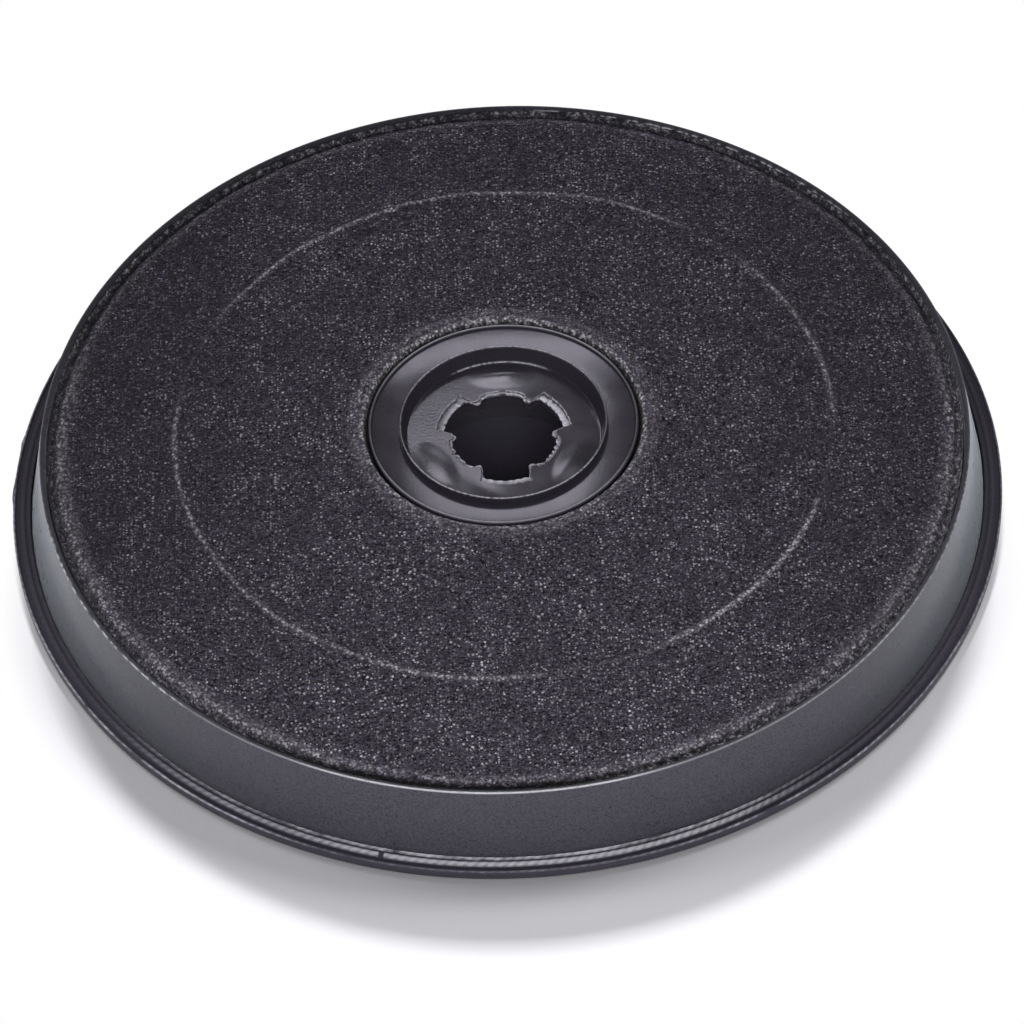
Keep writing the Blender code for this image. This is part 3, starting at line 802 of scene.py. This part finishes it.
def window_loop(row, index, grow):
    """Outline of one window, grown outwards, as (x, y) points."""
    inner, outer, count, arc_steps = row
    middle = (index + 0.5) * 2 * math.pi / count
    points = []
    for radius, direction in ((inner - grow, -1), (outer + grow, 1)):
        half = math.pi / count - math.asin((SPOKE_WIDTH / 2 - grow) / radius)
        for step in range(arc_steps + 1):
            angle = middle + direction * half * (2 * step / arc_steps - 1)
            points.append((radius * math.cos(angle), radius * math.sin(angle)))
    return points


def window_cutters():
    """One mesh of all the windows, each flared at the underside and at the inside."""
    wall_inner = WALL_FOOT_RADIUS - WALL_THICKNESS
    rows = (
        (SLEEVE_RADIUS + WINDOW_MARGIN, MIDDLE_RING_RADIUS - MIDDLE_RING_HALF, INNER_WINDOWS, 2),
        (MIDDLE_RING_RADIUS + MIDDLE_RING_HALF, RIB_RADIUS - RIB_HALF - WINDOW_MARGIN, INNER_WINDOWS, 4),
        (RIB_RADIUS + RIB_HALF + WINDOW_MARGIN, wall_inner - WINDOW_MARGIN, OUTER_WINDOWS, 4),
    )
    levels = (
        (-WINDOW_CHAMFER, 2 * WINDOW_CHAMFER),
        (WINDOW_CHAMFER, 0.0),
        (FLOOR_TOP + WINDOW_CHAMFER, 0.0),
    )
    mesh = bpy.data.meshes.new("windows")
    work = bmesh.new()
    for row in rows:
        for index in range(row[2]):
            rings = []
            for height, grow in levels:
                rings.append([work.verts.new((x, y, height)) for x, y in window_loop(row, index, grow)])
            count = len(rings[0])
            work.faces.new(rings[0][::-1])
            work.faces.new(rings[-1])
            for low, high in zip(rings, rings[1:]):
                for corner in range(count):
                    after = (corner + 1) % count
                    work.faces.new((low[corner], low[after], high[after], high[corner]))
    bmesh.ops.recalc_face_normals(work, faces=work.faces)
    work.to_mesh(mesh)
    work.free()
    return bpy.data.objects.new("windows", mesh)


def applied(piece):
    """Gives a piece its evaluated mesh and drops its modifiers."""
    graph = bpy.context.evaluated_depsgraph_get()
    mesh = bpy.data.meshes.new_from_object(piece.evaluated_get(graph), depsgraph=graph)
    piece.modifiers.clear()
    piece.data = mesh


def nick_share(x, y):
    """1 in the middle of the nick in the rim, falling to 0 at its sides."""
    off = np.abs((np.arctan2(y, x) - NICK_ANGLE + math.pi) % (2 * math.pi) - math.pi) * np.hypot(x, y)
    return np.clip(1 - off / NICK_WIDTH, 0, 1)


def flash(x, y):
    """How far small remains of moulding flash reach out past the rim."""
    angle = np.degrees(np.arctan2(y, x)) % 360
    return FLASH_REACH * sum(band(angle, middle, FLASH_WIDTH) for middle in FLASH_ANGLES)


def base_highlight(x, y, z):
    """Painted highlights along the tops of the rim's crest, bead and lip."""
    radius = np.hypot(x, y)
    angle = np.arctan2(y, x)
    front = stretches(angle, 0.03, RIM_HIGHLIGHT_FRONT)
    sides = stretches(angle, 0.1, RIM_HIGHLIGHT_SIDES)
    dashes = 0.7 + 0.3 * waves(x, y, RIM_DASH, 34)
    crest = crest_line(radius, z, *CREST_LINE)
    bead = crest_line(radius, z, *RIM_BEAD_LINE)
    lip = crest_line(radius, z, *RIM_LIP_LINE)
    return front * crest * dashes + front * bead * (1 - nick_share(x, y)) + sides * lip * dashes


def base_dark(x, y):
    """The valley and the groove of the rim, which lie in shade."""
    radius = np.hypot(x, y)
    front = stretches(np.arctan2(y, x), 0.25, RIM_SHADE)
    return front * np.maximum(0.9 * band(radius, *VALLEY_LINE), band(radius, *GROOVE_LINE))


def make_base(look):
    grid = turned_grid(base_profile(), base_angles())
    x, y, z = axes(grid)
    radius = np.hypot(x, y)
    on_bead = (np.abs(radius - BEAD_RADIUS) < 2 * BEAD_HALF) & (z > VALLEY_HEIGHT)
    grid[..., 2] -= np.where(on_bead, NICK_DEPTH * nick_share(x, y), 0)
    bulge = 1 + (radius > BASE_RADIUS - SMALL_ROUND) * flash(x, y) / BASE_RADIUS
    grid[..., :2] *= bulge[..., None]
    steps, count, _ = grid.shape
    faces = grid_faces(steps, count, False).tolist()
    faces.append([step * count for step in range(steps)])
    faces.append([step * count + count - 1 for step in reversed(range(steps))])
    base = add_piece("base_moulding", grid.reshape(-1, 3), faces, look)
    cutters = window_cutters()
    link(cutters)
    boolean = base.modifiers.new("windows", "BOOLEAN")
    boolean.object = cutters
    boolean.solver = "EXACT"
    applied(base)
    bpy.data.objects.remove(cutters, do_unlink=True)
    points = np.empty(len(base.data.vertices) * 3, dtype=np.float32)
    base.data.vertices.foreach_get("co", points)
    x, y, z = axes(points.reshape(-1, 3))
    mark(base, "pale", base_highlight(x, y, z))
    mark(base, "dark", base_dark(x, y))
    base.data.shade_smooth()
    base.data.set_sharp_from_angle(angle=BASE_SHARP_ANGLE)
    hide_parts("base_grille")


def arc_points(centre, radius, start, end, steps):
    angles = np.radians(np.linspace(start, end, steps + 1))
    return np.stack([centre[0] + radius * np.cos(angles), centre[1] + radius * np.sin(angles)], axis=1)


def hole_radius(angles):
    """Radius of the bayonet hole's edge at each angle: lobes, teeth and necks."""
    loops = []
    pitch = 360.0 / LOBES
    to_tooth = LOBE_HALF_ANGLE + TOOTH_OFFSET
    neck_half = pitch / 2 - to_tooth - math.degrees(2 * TOOTH_RADIUS / NECK_RADIUS)
    tooth_middle = NECK_RADIUS + TOOTH_RADIUS - TOOTH_REACH
    lobe_radius = LOBE_RADIUS - LOBE_LEDGE
    for lobe in range(LOBES):
        middle = FIRST_LOBE + lobe * pitch
        neck = middle + pitch / 2
        loops.append(arc_points((0, 0), lobe_radius, middle - LOBE_HALF_ANGLE, middle + LOBE_HALF_ANGLE, 24))
        for turn in (middle + to_tooth, middle + pitch - to_tooth):
            way = math.radians(turn)
            place = (tooth_middle * math.cos(way), tooth_middle * math.sin(way))
            first, last = turn + 180 + TOOTH_NOSE_ANGLE, turn + 180 - TOOTH_NOSE_ANGLE
            loops.append(arc_points(place, TOOTH_RADIUS, first, last, 12))
        loops.append(arc_points((0, 0), NECK_RADIUS, neck - neck_half, neck + neck_half, 12))
    x, y = axes(np.concatenate(loops))
    around = np.arctan2(y, x) % math.tau
    order = np.argsort(around)
    return np.interp(angles, around[order], np.hypot(x, y)[order], period=math.tau)


def in_lobe(angles):
    """1 where the plate is sunk round a lobe, 0 elsewhere."""
    pitch = 360.0 / LOBES
    off = np.abs((np.degrees(angles) - FIRST_LOBE + pitch / 2) % pitch - pitch / 2)
    edge = LOBE_HALF_ANGLE + LOBE_LEDGE_SPREAD
    return 1 - smooth_step(off, edge - LOBE_LEDGE_FADE, edge + LOBE_LEDGE_FADE)


def ledge_shape(angles):
    """At each angle: the hole's radius, the share of a lobe, the ledge's outer radius and its drop."""
    hole = hole_radius(angles)
    sunk = in_lobe(angles)
    outer = hole + NECK_LEDGE + sunk * (LOBE_RADIUS - hole - NECK_LEDGE)
    drop = NECK_LEDGE_DROP + sunk * (LOBE_LEDGE_DROP - NECK_LEDGE_DROP)
    return hole, sunk, outer, drop


def pad_height(x, y):
    """Height of the three domed pads above the plate."""
    height = np.zeros_like(x)
    for index in range(LOBES):
        turn = math.radians(FIRST_LOBE + (index + 0.5) * 360 / LOBES)
        along = (-x * math.sin(turn) + y * math.cos(turn)) / PAD_LENGTH_HALF
        out = (x * math.cos(turn) + y * math.sin(turn) - PAD_RADIUS) / PAD_RADIAL_HALF
        off = np.sqrt(along ** 2 + out ** 2)
        height = np.maximum(height, PAD_HEIGHT * (1 - np.clip(off, 0, 1) ** 2) ** 2)
    return height


def bent(along, reach):
    """Height of a sheet of slope 1 that starts level and bends within that reach."""
    share = np.clip(along / reach, 0, None)
    return reach * np.where(share < 1, share ** 2 / 2, share - 0.5)


def plate_warp(x, y):
    """How the plate is warped: up at the near left, and down to the right."""
    return sum(
        slope * bent(with_x * x + with_y * y - start, reach)
        for slope, with_x, with_y, start, reach in PLATE_WARPS
    )


def hub_grid():
    """The hub's points. Each row starts at the hole's lower edge and comes back to it from below."""
    angles = even_angles(HUB_STEPS)
    hole, _, edge, drop = ledge_shape(angles)
    ragged = HOLE_RAGGED * waves(hole * np.cos(angles), hole * np.sin(angles), RAGGED_LENGTH, 5)
    edge_surface = FLANGE_SURFACE + FLANGE_RISE
    bead_inner = FLANGE_RADIUS - FLANGE_BEAD_WIDTH
    shares = np.arange(1, PLATE_POINTS) / PLATE_POINTS
    rest = [
        (RECESS_FOOT, PLATE_TOP, SMALL_ROUND / 2),
        *[(
            RECESS_FOOT + (RECESS_RADIUS - RECESS_FOOT) * share,
            PLATE_TOP + (HUB_TOP - PLATE_TOP) * share,
            0,
        ) for share in (0.1, 0.9)],
        (RECESS_RADIUS, HUB_TOP),
        (LIP_RADIUS, HUB_TOP),
        (LIP_RADIUS, HUB_TOP - SIDE_STEP, 0),
        (LIP_RADIUS, FLANGE_SURFACE, 0),
        (bead_inner, edge_surface),
        (bead_inner, FLANGE_BEAD_TOP, BEAD_ROUND),
        (FLANGE_RADIUS, FLANGE_BEAD_TOP, BEAD_ROUND),
        (FLANGE_RADIUS, edge_surface - FLANGE_THICKNESS),
        (LIP_RADIUS, FLANGE_SURFACE - FLANGE_THICKNESS),
        (LIP_RADIUS, PLATE_BOTTOM),
        (SKIRT_RADIUS, PLATE_BOTTOM),
        (SKIRT_RADIUS, HUB_BOTTOM),
        (SKIRT_BORE, HUB_BOTTOM),
        (SKIRT_BORE, PLATE_BOTTOM),
    ]
    rows = []
    for inner, outer, fall, rough in zip(hole, edge, drop, ragged):
        first = outer + PLATE_STEP
        start = [
            (inner, PLATE_BOTTOM),
            (inner, PLATE_TOP - fall - SIDE_STEP, 0),
            (inner + rough, PLATE_TOP - fall, SMALL_ROUND / 2),
            (outer, PLATE_TOP - fall, SMALL_ROUND / 4),
            (outer + rough, PLATE_TOP, SMALL_ROUND / 2),
            (first, PLATE_TOP, 0),
        ]
        plate = [(first + (RECESS_FOOT - first) * share, PLATE_TOP, 0) for share in shares]
        rows.append(rounded(start + plate + rest))
    return turned_grid(rows, angles)


def hub_painted_light(x, y, z):
    """Painted highlights on the hub's crests, the recess foot, the ragged edge of the hole and the ledges
    round the lobes, and painted light in the bore.
    """
    radius = np.hypot(x, y)
    angle = np.arctan2(y, x)
    dashes = np.clip(0.85 + 0.3 * waves(x, y, HUB_DASH, 31), 0, 1)
    ends = stretches(angle, 0, HUB_HIGHLIGHT_ENDS)
    lip = crest_line(radius, z, *HUB_LIP_LINE)
    bead = crest_line(radius, z, *HUB_BEAD_LINE)
    at_foot = (np.abs(z - PLATE_TOP) < FOOT_DEPTH) * sector(angle, *FOOT_HIGHLIGHT)
    foot = band(radius, *FOOT_LINE) * at_foot
    hole, sunk, outer, drop = ledge_shape(angle)
    on_ledge = (z > PLATE_TOP - drop - LEDGE_MARGIN) & (z < PLATE_TOP + PLATE_MARGIN)
    rims = np.maximum(band(radius, hole, HOLE_LINE), 0.8 * band(radius, outer + LEDGE_OFF, LEDGE_LINE))
    ragged = np.clip(0.5 + 0.5 * waves(x, y, LEDGE_DASH, 32), 0, 1)
    ledge = (0.3 * sunk + 0.15) * (radius < outer - LEDGE_OFF)
    # Painted light inside the skirt's bore, which makes the hole less dark.
    skirt = 0.04 * (z < PLATE_BOTTOM + SKIRT_MARGIN) * (radius < SKIRT_RADIUS)
    pale = (0.2 + 0.6 * ends) * lip * dashes + (0.05 + 0.35 * ends) * bead + foot * dashes + skirt
    return pale + on_ledge * (rims * (0.4 + 0.6 * ragged) + ledge)


def make_hub(look):
    grid = hub_grid()
    x, y, z = axes(grid)
    pale = hub_painted_light(x, y, z)
    radius = np.hypot(x, y)
    below_wall = z < PLATE_TOP + PLATE_MARGIN
    on_top = (z > PLATE_TOP - HAIR) & below_wall & (radius < RECESS_FOOT + HAIR)
    plate = (z > PLATE_BOTTOM + PLATE_SIDE) & below_wall & (radius < RECESS_FOOT + LEDGE_OFF)
    grid[..., 2] += np.where(on_top, pad_height(x, y), 0) + np.where(plate, plate_warp(x, y), 0)
    hub = add_grid("hub_moulding", grid, look)
    mark(hub, "pale", pale)
    hub.data.set_sharp_from_angle(angle=HUB_SHARP_ANGLE)
    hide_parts("hub_socket")


def felt_height(radius):
    """Height of the felt's upper side from the hub's flange to the wall."""
    crest = (CREASE_TOP - CREASE_FOOT) * band(radius, RIB_RADIUS, CREASE_WIDTH)
    return np.interp(radius, *FELT_KNOTS.T) + crest


def felt_radii():
    """Radii of the felt's rings on its upper side: close together at the collar, crease and shoulder."""
    radii = [FELT_HOLE]
    step = RING_STEP
    while radii[-1] < FELT_RADIUS - step:
        radius = radii[-1]
        step = RING_STEP
        for low, high, own in RING_ZONES:
            if low < radius < high:
                step = own
        radii.append(radius + step)
    radii[-1] = FELT_RADIUS
    return np.array(radii)


def felt_relief(x, y, radius):
    """How far lumps and soft wrinkles lift the felt, and nothing where it is clamped or welded."""
    free = smooth_step(radius, *RELIEF_STARTS) * (1 - smooth_step(radius, *RELIEF_ENDS))
    broad, lumps = [
        sum(height * waves(x, y, length, seed, count) for length, height, seed, count in parts)
        for parts in (BROAD_WAVES, LUMP_WAVES)
    ]
    return free * (broad + lumps)


def felt_highlight_share(x, y, radius):
    """Painted highlights on the felt: the crease, the collar and the edge of the shoulder."""
    angle = np.degrees(np.arctan2(y, x)) % 360
    turn = np.radians(angle)
    dotted = np.clip(0.45 + 0.75 * waves(x, y, FELT_DOTS, 23), 0, 1)
    line = 1.2 * band(radius, *CREASE_LINE) * (0.5 + 0.5 * dotted)
    crease = 0.12 * line
    for start, end, gain in CREASE_HIGHLIGHT:
        started = smooth_step(angle, start - CREASE_FADE, start + CREASE_FADE)
        inside = started * (1 - smooth_step(angle, end - CREASE_FADE, end + CREASE_FADE))
        crease += 1.5 * gain * inside * line
    near_side = 1 - smooth_step(y, *NEAR_SIDE)
    inner_line = COLLAR_INNER_LINE - COLLAR_LINE_SHIFT * smooth_step(y, *FAR_SIDE)
    collar = (0.6 + 2.4 * dotted) * band(radius, inner_line, COLLAR_LINE + COLLAR_LINE_GROWTH * near_side)
    collar += 0.28 * band(radius, *COLLAR_FUZZ_HIGHLIGHT)
    collar += 1.2 * sector(turn, *UPPER_LEFT) * dotted * band(radius, *COLLAR_OUTER_LINE)
    right, left, back = [sector(turn, *arc) for arc in (RIGHT_ARC, LEFT_ARC, BACK_ARC)]
    fuzz_highlight = stretches(turn, 0.3, SHOULDER_FUZZ_HIGHLIGHT)
    shoulder = fuzz_highlight * (0.15 + 0.75 * dotted) * band(radius, *SHOULDER_LINE)
    shoulder += 0.3 * (left + 0.5 * right) * band(radius, *SHOULDER_BAND)
    shoulder += (0.8 * right + 0.4 * left) * dotted * band(radius, *WELD_LINE)
    shoulder += (0.8 * back + 0.8 * right) * dotted * band(radius, *FELT_EDGE_LINE)
    return np.clip(crease, 0, 1) + collar + shoulder


def felt_side_shade(x, y):
    """Painted shade on the felt: darker to the left, to the right and at the back."""
    sides = 0.45 * smooth_step(-x, *SIDE_SHADE_LEFT) + 0.28 * smooth_step(x, *SIDE_SHADE_RIGHT)
    return sides * smooth_step(y + 0.3 * x, *SIDE_SHADE_FRONT) + 0.1 * smooth_step(y, *SIDE_SHADE_BACK)


def felt_grid():
    radii = felt_radii()
    top = np.stack([radii, felt_height(radii)], axis=1)
    under = [
        (FELT_RADIUS, FELT_BOTTOM),
        (SHOULDER, FELT_BOTTOM),
        (SHOULDER - UNDER_SHOULDER, SHOULDER_TOP - FELT_THICKNESS),
        (RIB_RADIUS, CREASE_FOOT - FELT_THICKNESS),
        (COLLAR, COLLAR_TOP - FELT_THICKNESS),
        (UNDER_CLAMP, UNDER_FLANGE - FELT_CLAMPED),
        (FELT_HOLE, UNDER_FLANGE - FELT_CLAMPED),
    ]
    grid = turned_grid(np.concatenate([top, under]), even_angles(FELT_STEPS))
    count = len(radii)
    x, y = grid[:, :count, 0], grid[:, :count, 1]
    radius = np.hypot(x, y)
    grid[:, :count, 2] += felt_relief(x, y, radius)
    painted_highlight = np.zeros(grid.shape[:2])
    painted_highlight[:, :count] = np.clip(felt_highlight_share(x, y, radius), 0, 1)
    return grid, painted_highlight


def make_felt(look):
    grid, painted_highlight = felt_grid()
    cover = add_grid("felt_cover", grid, look)
    x, y, _ = axes(grid)
    radius = np.hypot(x, y)
    # Painted shade: the felt is darkened round the hub and down the shoulder at the wall.
    round_hub = 1 - smooth_step(radius, *HUB_SHADE)
    at_wall = smooth_step(radius, *SHOULDER_SHADE)
    mark(cover, "painted_highlight", painted_highlight)
    mark(cover, "dark", np.maximum(round_hub, shade_share(np.arctan2(y, x)) * at_wall))
    mark(cover, "painted_side_shade", felt_side_shade(x, y))
    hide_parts("fleece_cover")
    return cover


def fibre_places(draw):
    """Random places of the fibres: all over the felt, and closer on the collar and the shoulder."""
    low, high = FIBRE_RANGE
    radius = np.sqrt(draw.uniform(low ** 2, high ** 2, FIBRES_ALL_OVER))
    collar = draw.normal(*COLLAR_FIBRES, FIBRES_ON_COLLAR)
    shoulder = draw.normal(*SHOULDER_FIBRES, FIBRES - FIBRES_ALL_OVER - FIBRES_ON_COLLAR)
    radius = np.clip(np.concatenate([radius, collar, shoulder]), *FIBRE_LIMITS)
    return radius, draw.uniform(0, 2 * math.pi, FIBRES)


def make_fibres(look):
    """Loose fibre ends on the felt, each a bent spindle that starts and ends in the surface."""
    draw = np.random.default_rng(7)
    radius, angle = fibre_places(draw)
    round_hub = 1 - smooth_step(radius, *COMBED_HUB)
    order = np.maximum(round_hub, smooth_step(radius, *COMBED_EDGE))
    heading = angle + math.pi / 2 + draw.normal(0, 1, FIBRES) * (0.3 + 3.0 * (1 - order))
    length = draw.uniform(*FIBRE_LENGTHS, FIBRES)
    bend = draw.normal(0, 0.15, FIBRES) * length
    lift = draw.uniform(*FIBRE_LIFTS, FIBRES)
    middle = np.column_stack([radius * np.cos(angle), radius * np.sin(angle)])
    along = np.column_stack([np.cos(heading), np.sin(heading)])
    across = np.column_stack([-along[:, 1], along[:, 0]])

    def on_felt(place, above):
        around = np.hypot(place[:, 0], place[:, 1])
        height = felt_height(around) + felt_relief(place[:, 0], place[:, 1], around)
        return np.column_stack([place, height + above])

    half = along * length[:, None] / 2
    start = on_felt(middle - half, np.zeros(FIBRES))
    end = on_felt(middle + half, lift * draw.uniform(0, 1.2, FIBRES))
    crown = on_felt(middle + across * bend[:, None], lift)
    side = np.column_stack([across * FIBRE_WIDTH / 2, np.zeros(FIBRES)])
    up = np.array([0, 0, FIBRE_WIDTH * 0.8])
    vertices = np.stack([start, crown - side, crown + side, crown + up, end], axis=1).reshape(-1, 3)
    pattern = np.array([(0, 1, 3), (0, 3, 2), (0, 2, 1), (4, 3, 1), (4, 2, 3), (4, 1, 2)])
    faces = (np.arange(FIBRES)[:, None, None] * 5 + pattern).reshape(-1, 3)
    fibres = add_piece("felt_fibres", vertices, faces, look)
    mark(fibres, "tone", np.repeat(draw.uniform(0, 1, FIBRES) ** 2, 5))
    return fibres


def fibre_look(name, colour):
    look = Look(name, 0.6)
    # A random tone for each fibre; the palest are partly painted glints.
    look.put("Base Color", look.mix(look.attribute("tone"), shaded(colour, 1.5), shaded(colour, 16.0)))
    return look.material


def make_floor():
    mesh = bpy.data.meshes.new("floor")
    work = bmesh.new()
    bmesh.ops.create_grid(work, x_segments=1, y_segments=1, size=FLOOR_SIZE / 2)
    work.to_mesh(mesh)
    work.free()
    mesh.materials.append(floor_look())
    floor = bpy.data.objects.new("floor", mesh)
    floor.location.z = FLOOR_LIFT
    link(floor)


def make_world():
    """White for the camera; a level of its own for the light on the scene and for reflections."""
    world = bpy.data.worlds.new("studio")
    bpy.context.scene.world = world
    world.use_nodes = True
    tree = world.node_tree
    soft = tree.nodes["Background"]
    soft.inputs["Color"].default_value = (*WORLD_TINT, 1.0)
    soft.inputs["Strength"].default_value = WORLD_LEVEL
    path = tree.nodes.new("ShaderNodeLightPath")
    surface = soft.outputs["Background"]
    for ray, level in (("Is Glossy Ray", REFLECTED_LEVEL), ("Is Camera Ray", 1.0)):
        plain = tree.nodes.new("ShaderNodeBackground")
        plain.inputs["Color"].default_value = (1.0, 1.0, 1.0, 1.0)
        plain.inputs["Strength"].default_value = level
        blend = tree.nodes.new("ShaderNodeMixShader")
        tree.links.new(path.outputs[ray], blend.inputs["Fac"])
        tree.links.new(surface, blend.inputs[1])
        tree.links.new(plain.outputs["Background"], blend.inputs[2])
        surface = blend.outputs["Shader"]
    tree.links.new(surface, tree.nodes["World Output"].inputs["Surface"])


def area_light(name, elevation, azimuth, distance, size, power):
    """A rectangular lamp that faces the filter; azimuth 0 is behind it, seen from the camera."""
    data = bpy.data.lights.new(name, "AREA")
    data.shape = "RECTANGLE"
    data.size, data.size_y = size
    data.energy = power
    lamp = bpy.data.objects.new(name, data)
    elevation, azimuth = math.radians(elevation), math.radians(azimuth)
    level = math.cos(elevation)
    way = Vector((math.sin(azimuth) * level, math.cos(azimuth) * level, math.sin(elevation)))
    lamp.location = way * distance
    lamp.rotation_euler = way.to_track_quat("Z", "Y").to_euler()
    link(lamp)
    return lamp


def soft_light(name, elevation, azimuth, distance, size, share, lit):
    """A lamp without a reflection that gives a share of the light on level ground, on some objects."""
    power = share * math.pi ** 2 * distance ** 2 / math.sin(math.radians(elevation))
    lamp = area_light(name, elevation, azimuth, distance, size, power)
    lamp.visible_glossy = False
    lamp.light_linking.receiver_collection = lit


def glint(name, elevation, azimuth, distance, size, radiance, lit):
    """A lamp that only glossy surfaces of some objects show."""
    lamp = area_light(name, elevation, azimuth, distance, size, radiance * math.pi * size[0] * size[1])
    lamp.data.color = GLINT_TINT
    lamp.visible_diffuse = False
    lamp.light_linking.receiver_collection = lit


def make_lights():
    floor_only = bpy.data.collections.new("lit_floor")
    filter_only = bpy.data.collections.new("lit_filter")
    hub_only = bpy.data.collections.new("lit_hub")
    hub_only.objects.link(bpy.data.objects["hub_moulding"])
    for item in bpy.context.scene.objects:
        if item.type == "MESH":
            group = floor_only if item.name == "floor" else filter_only
            group.objects.link(item)
    for lamp in FLOOR_LAMPS:
        soft_light(*lamp, floor_only)
    for lamp in FILTER_LAMPS:
        soft_light(*lamp, filter_only)
    for lamp in GLINTS:
        glint(*lamp, hub_only)


def make_camera():
    data = bpy.data.cameras.new("camera")
    data.sensor_width = SENSOR
    data.lens = LENS
    data.clip_start = 0.01
    camera = bpy.data.objects.new("camera", data)
    level, steep = math.cos(CAMERA_ELEVATION), math.sin(CAMERA_ELEVATION)
    forward = Vector((0, level, -steep))
    upright = Vector((0, steep, level))
    sideways = Vector((1, 0, 0))
    turn, lean = math.cos(CAMERA_ROLL), math.sin(CAMERA_ROLL)
    right = sideways * turn + upright * lean
    up = upright * turn - sideways * lean
    place = CAMERA_AIM - forward * CAMERA_DISTANCE
    turned = Matrix((right, up, -forward)).transposed().to_4x4()
    camera.matrix_world = Matrix.Translation(place) @ turned
    link(camera)
    bpy.context.scene.camera = camera


def build():
    bpy.context.scene.view_settings.view_transform = "Standard"
    make_camera()
    make_world()
    make_floor()

    make_casing(casing_plastic("casing_satin").material)
    make_base(base_plastic("base_satin").material)
    make_hub(plastic("hub_gloss", *HUB_FINISH).material)
    cover = make_felt(felt("needled_felt", FELT_COLOUR))
    fibres = make_fibres(fibre_look("felt_fibre", FELT_COLOUR))
    liner_look = felt("liner_felt", LINER_COLOUR, painted_shading=False)
    carbon_look = carbon("carbon_granules", CARBON_COLOUR)
    for place in ("inner", "outer"):
        frame["nodes"]["liner_" + place].material_slots[0].material = liner_look
        frame["nodes"]["carbon_bed_" + place].material_slots[0].material = carbon_look
    make_lights()


build()
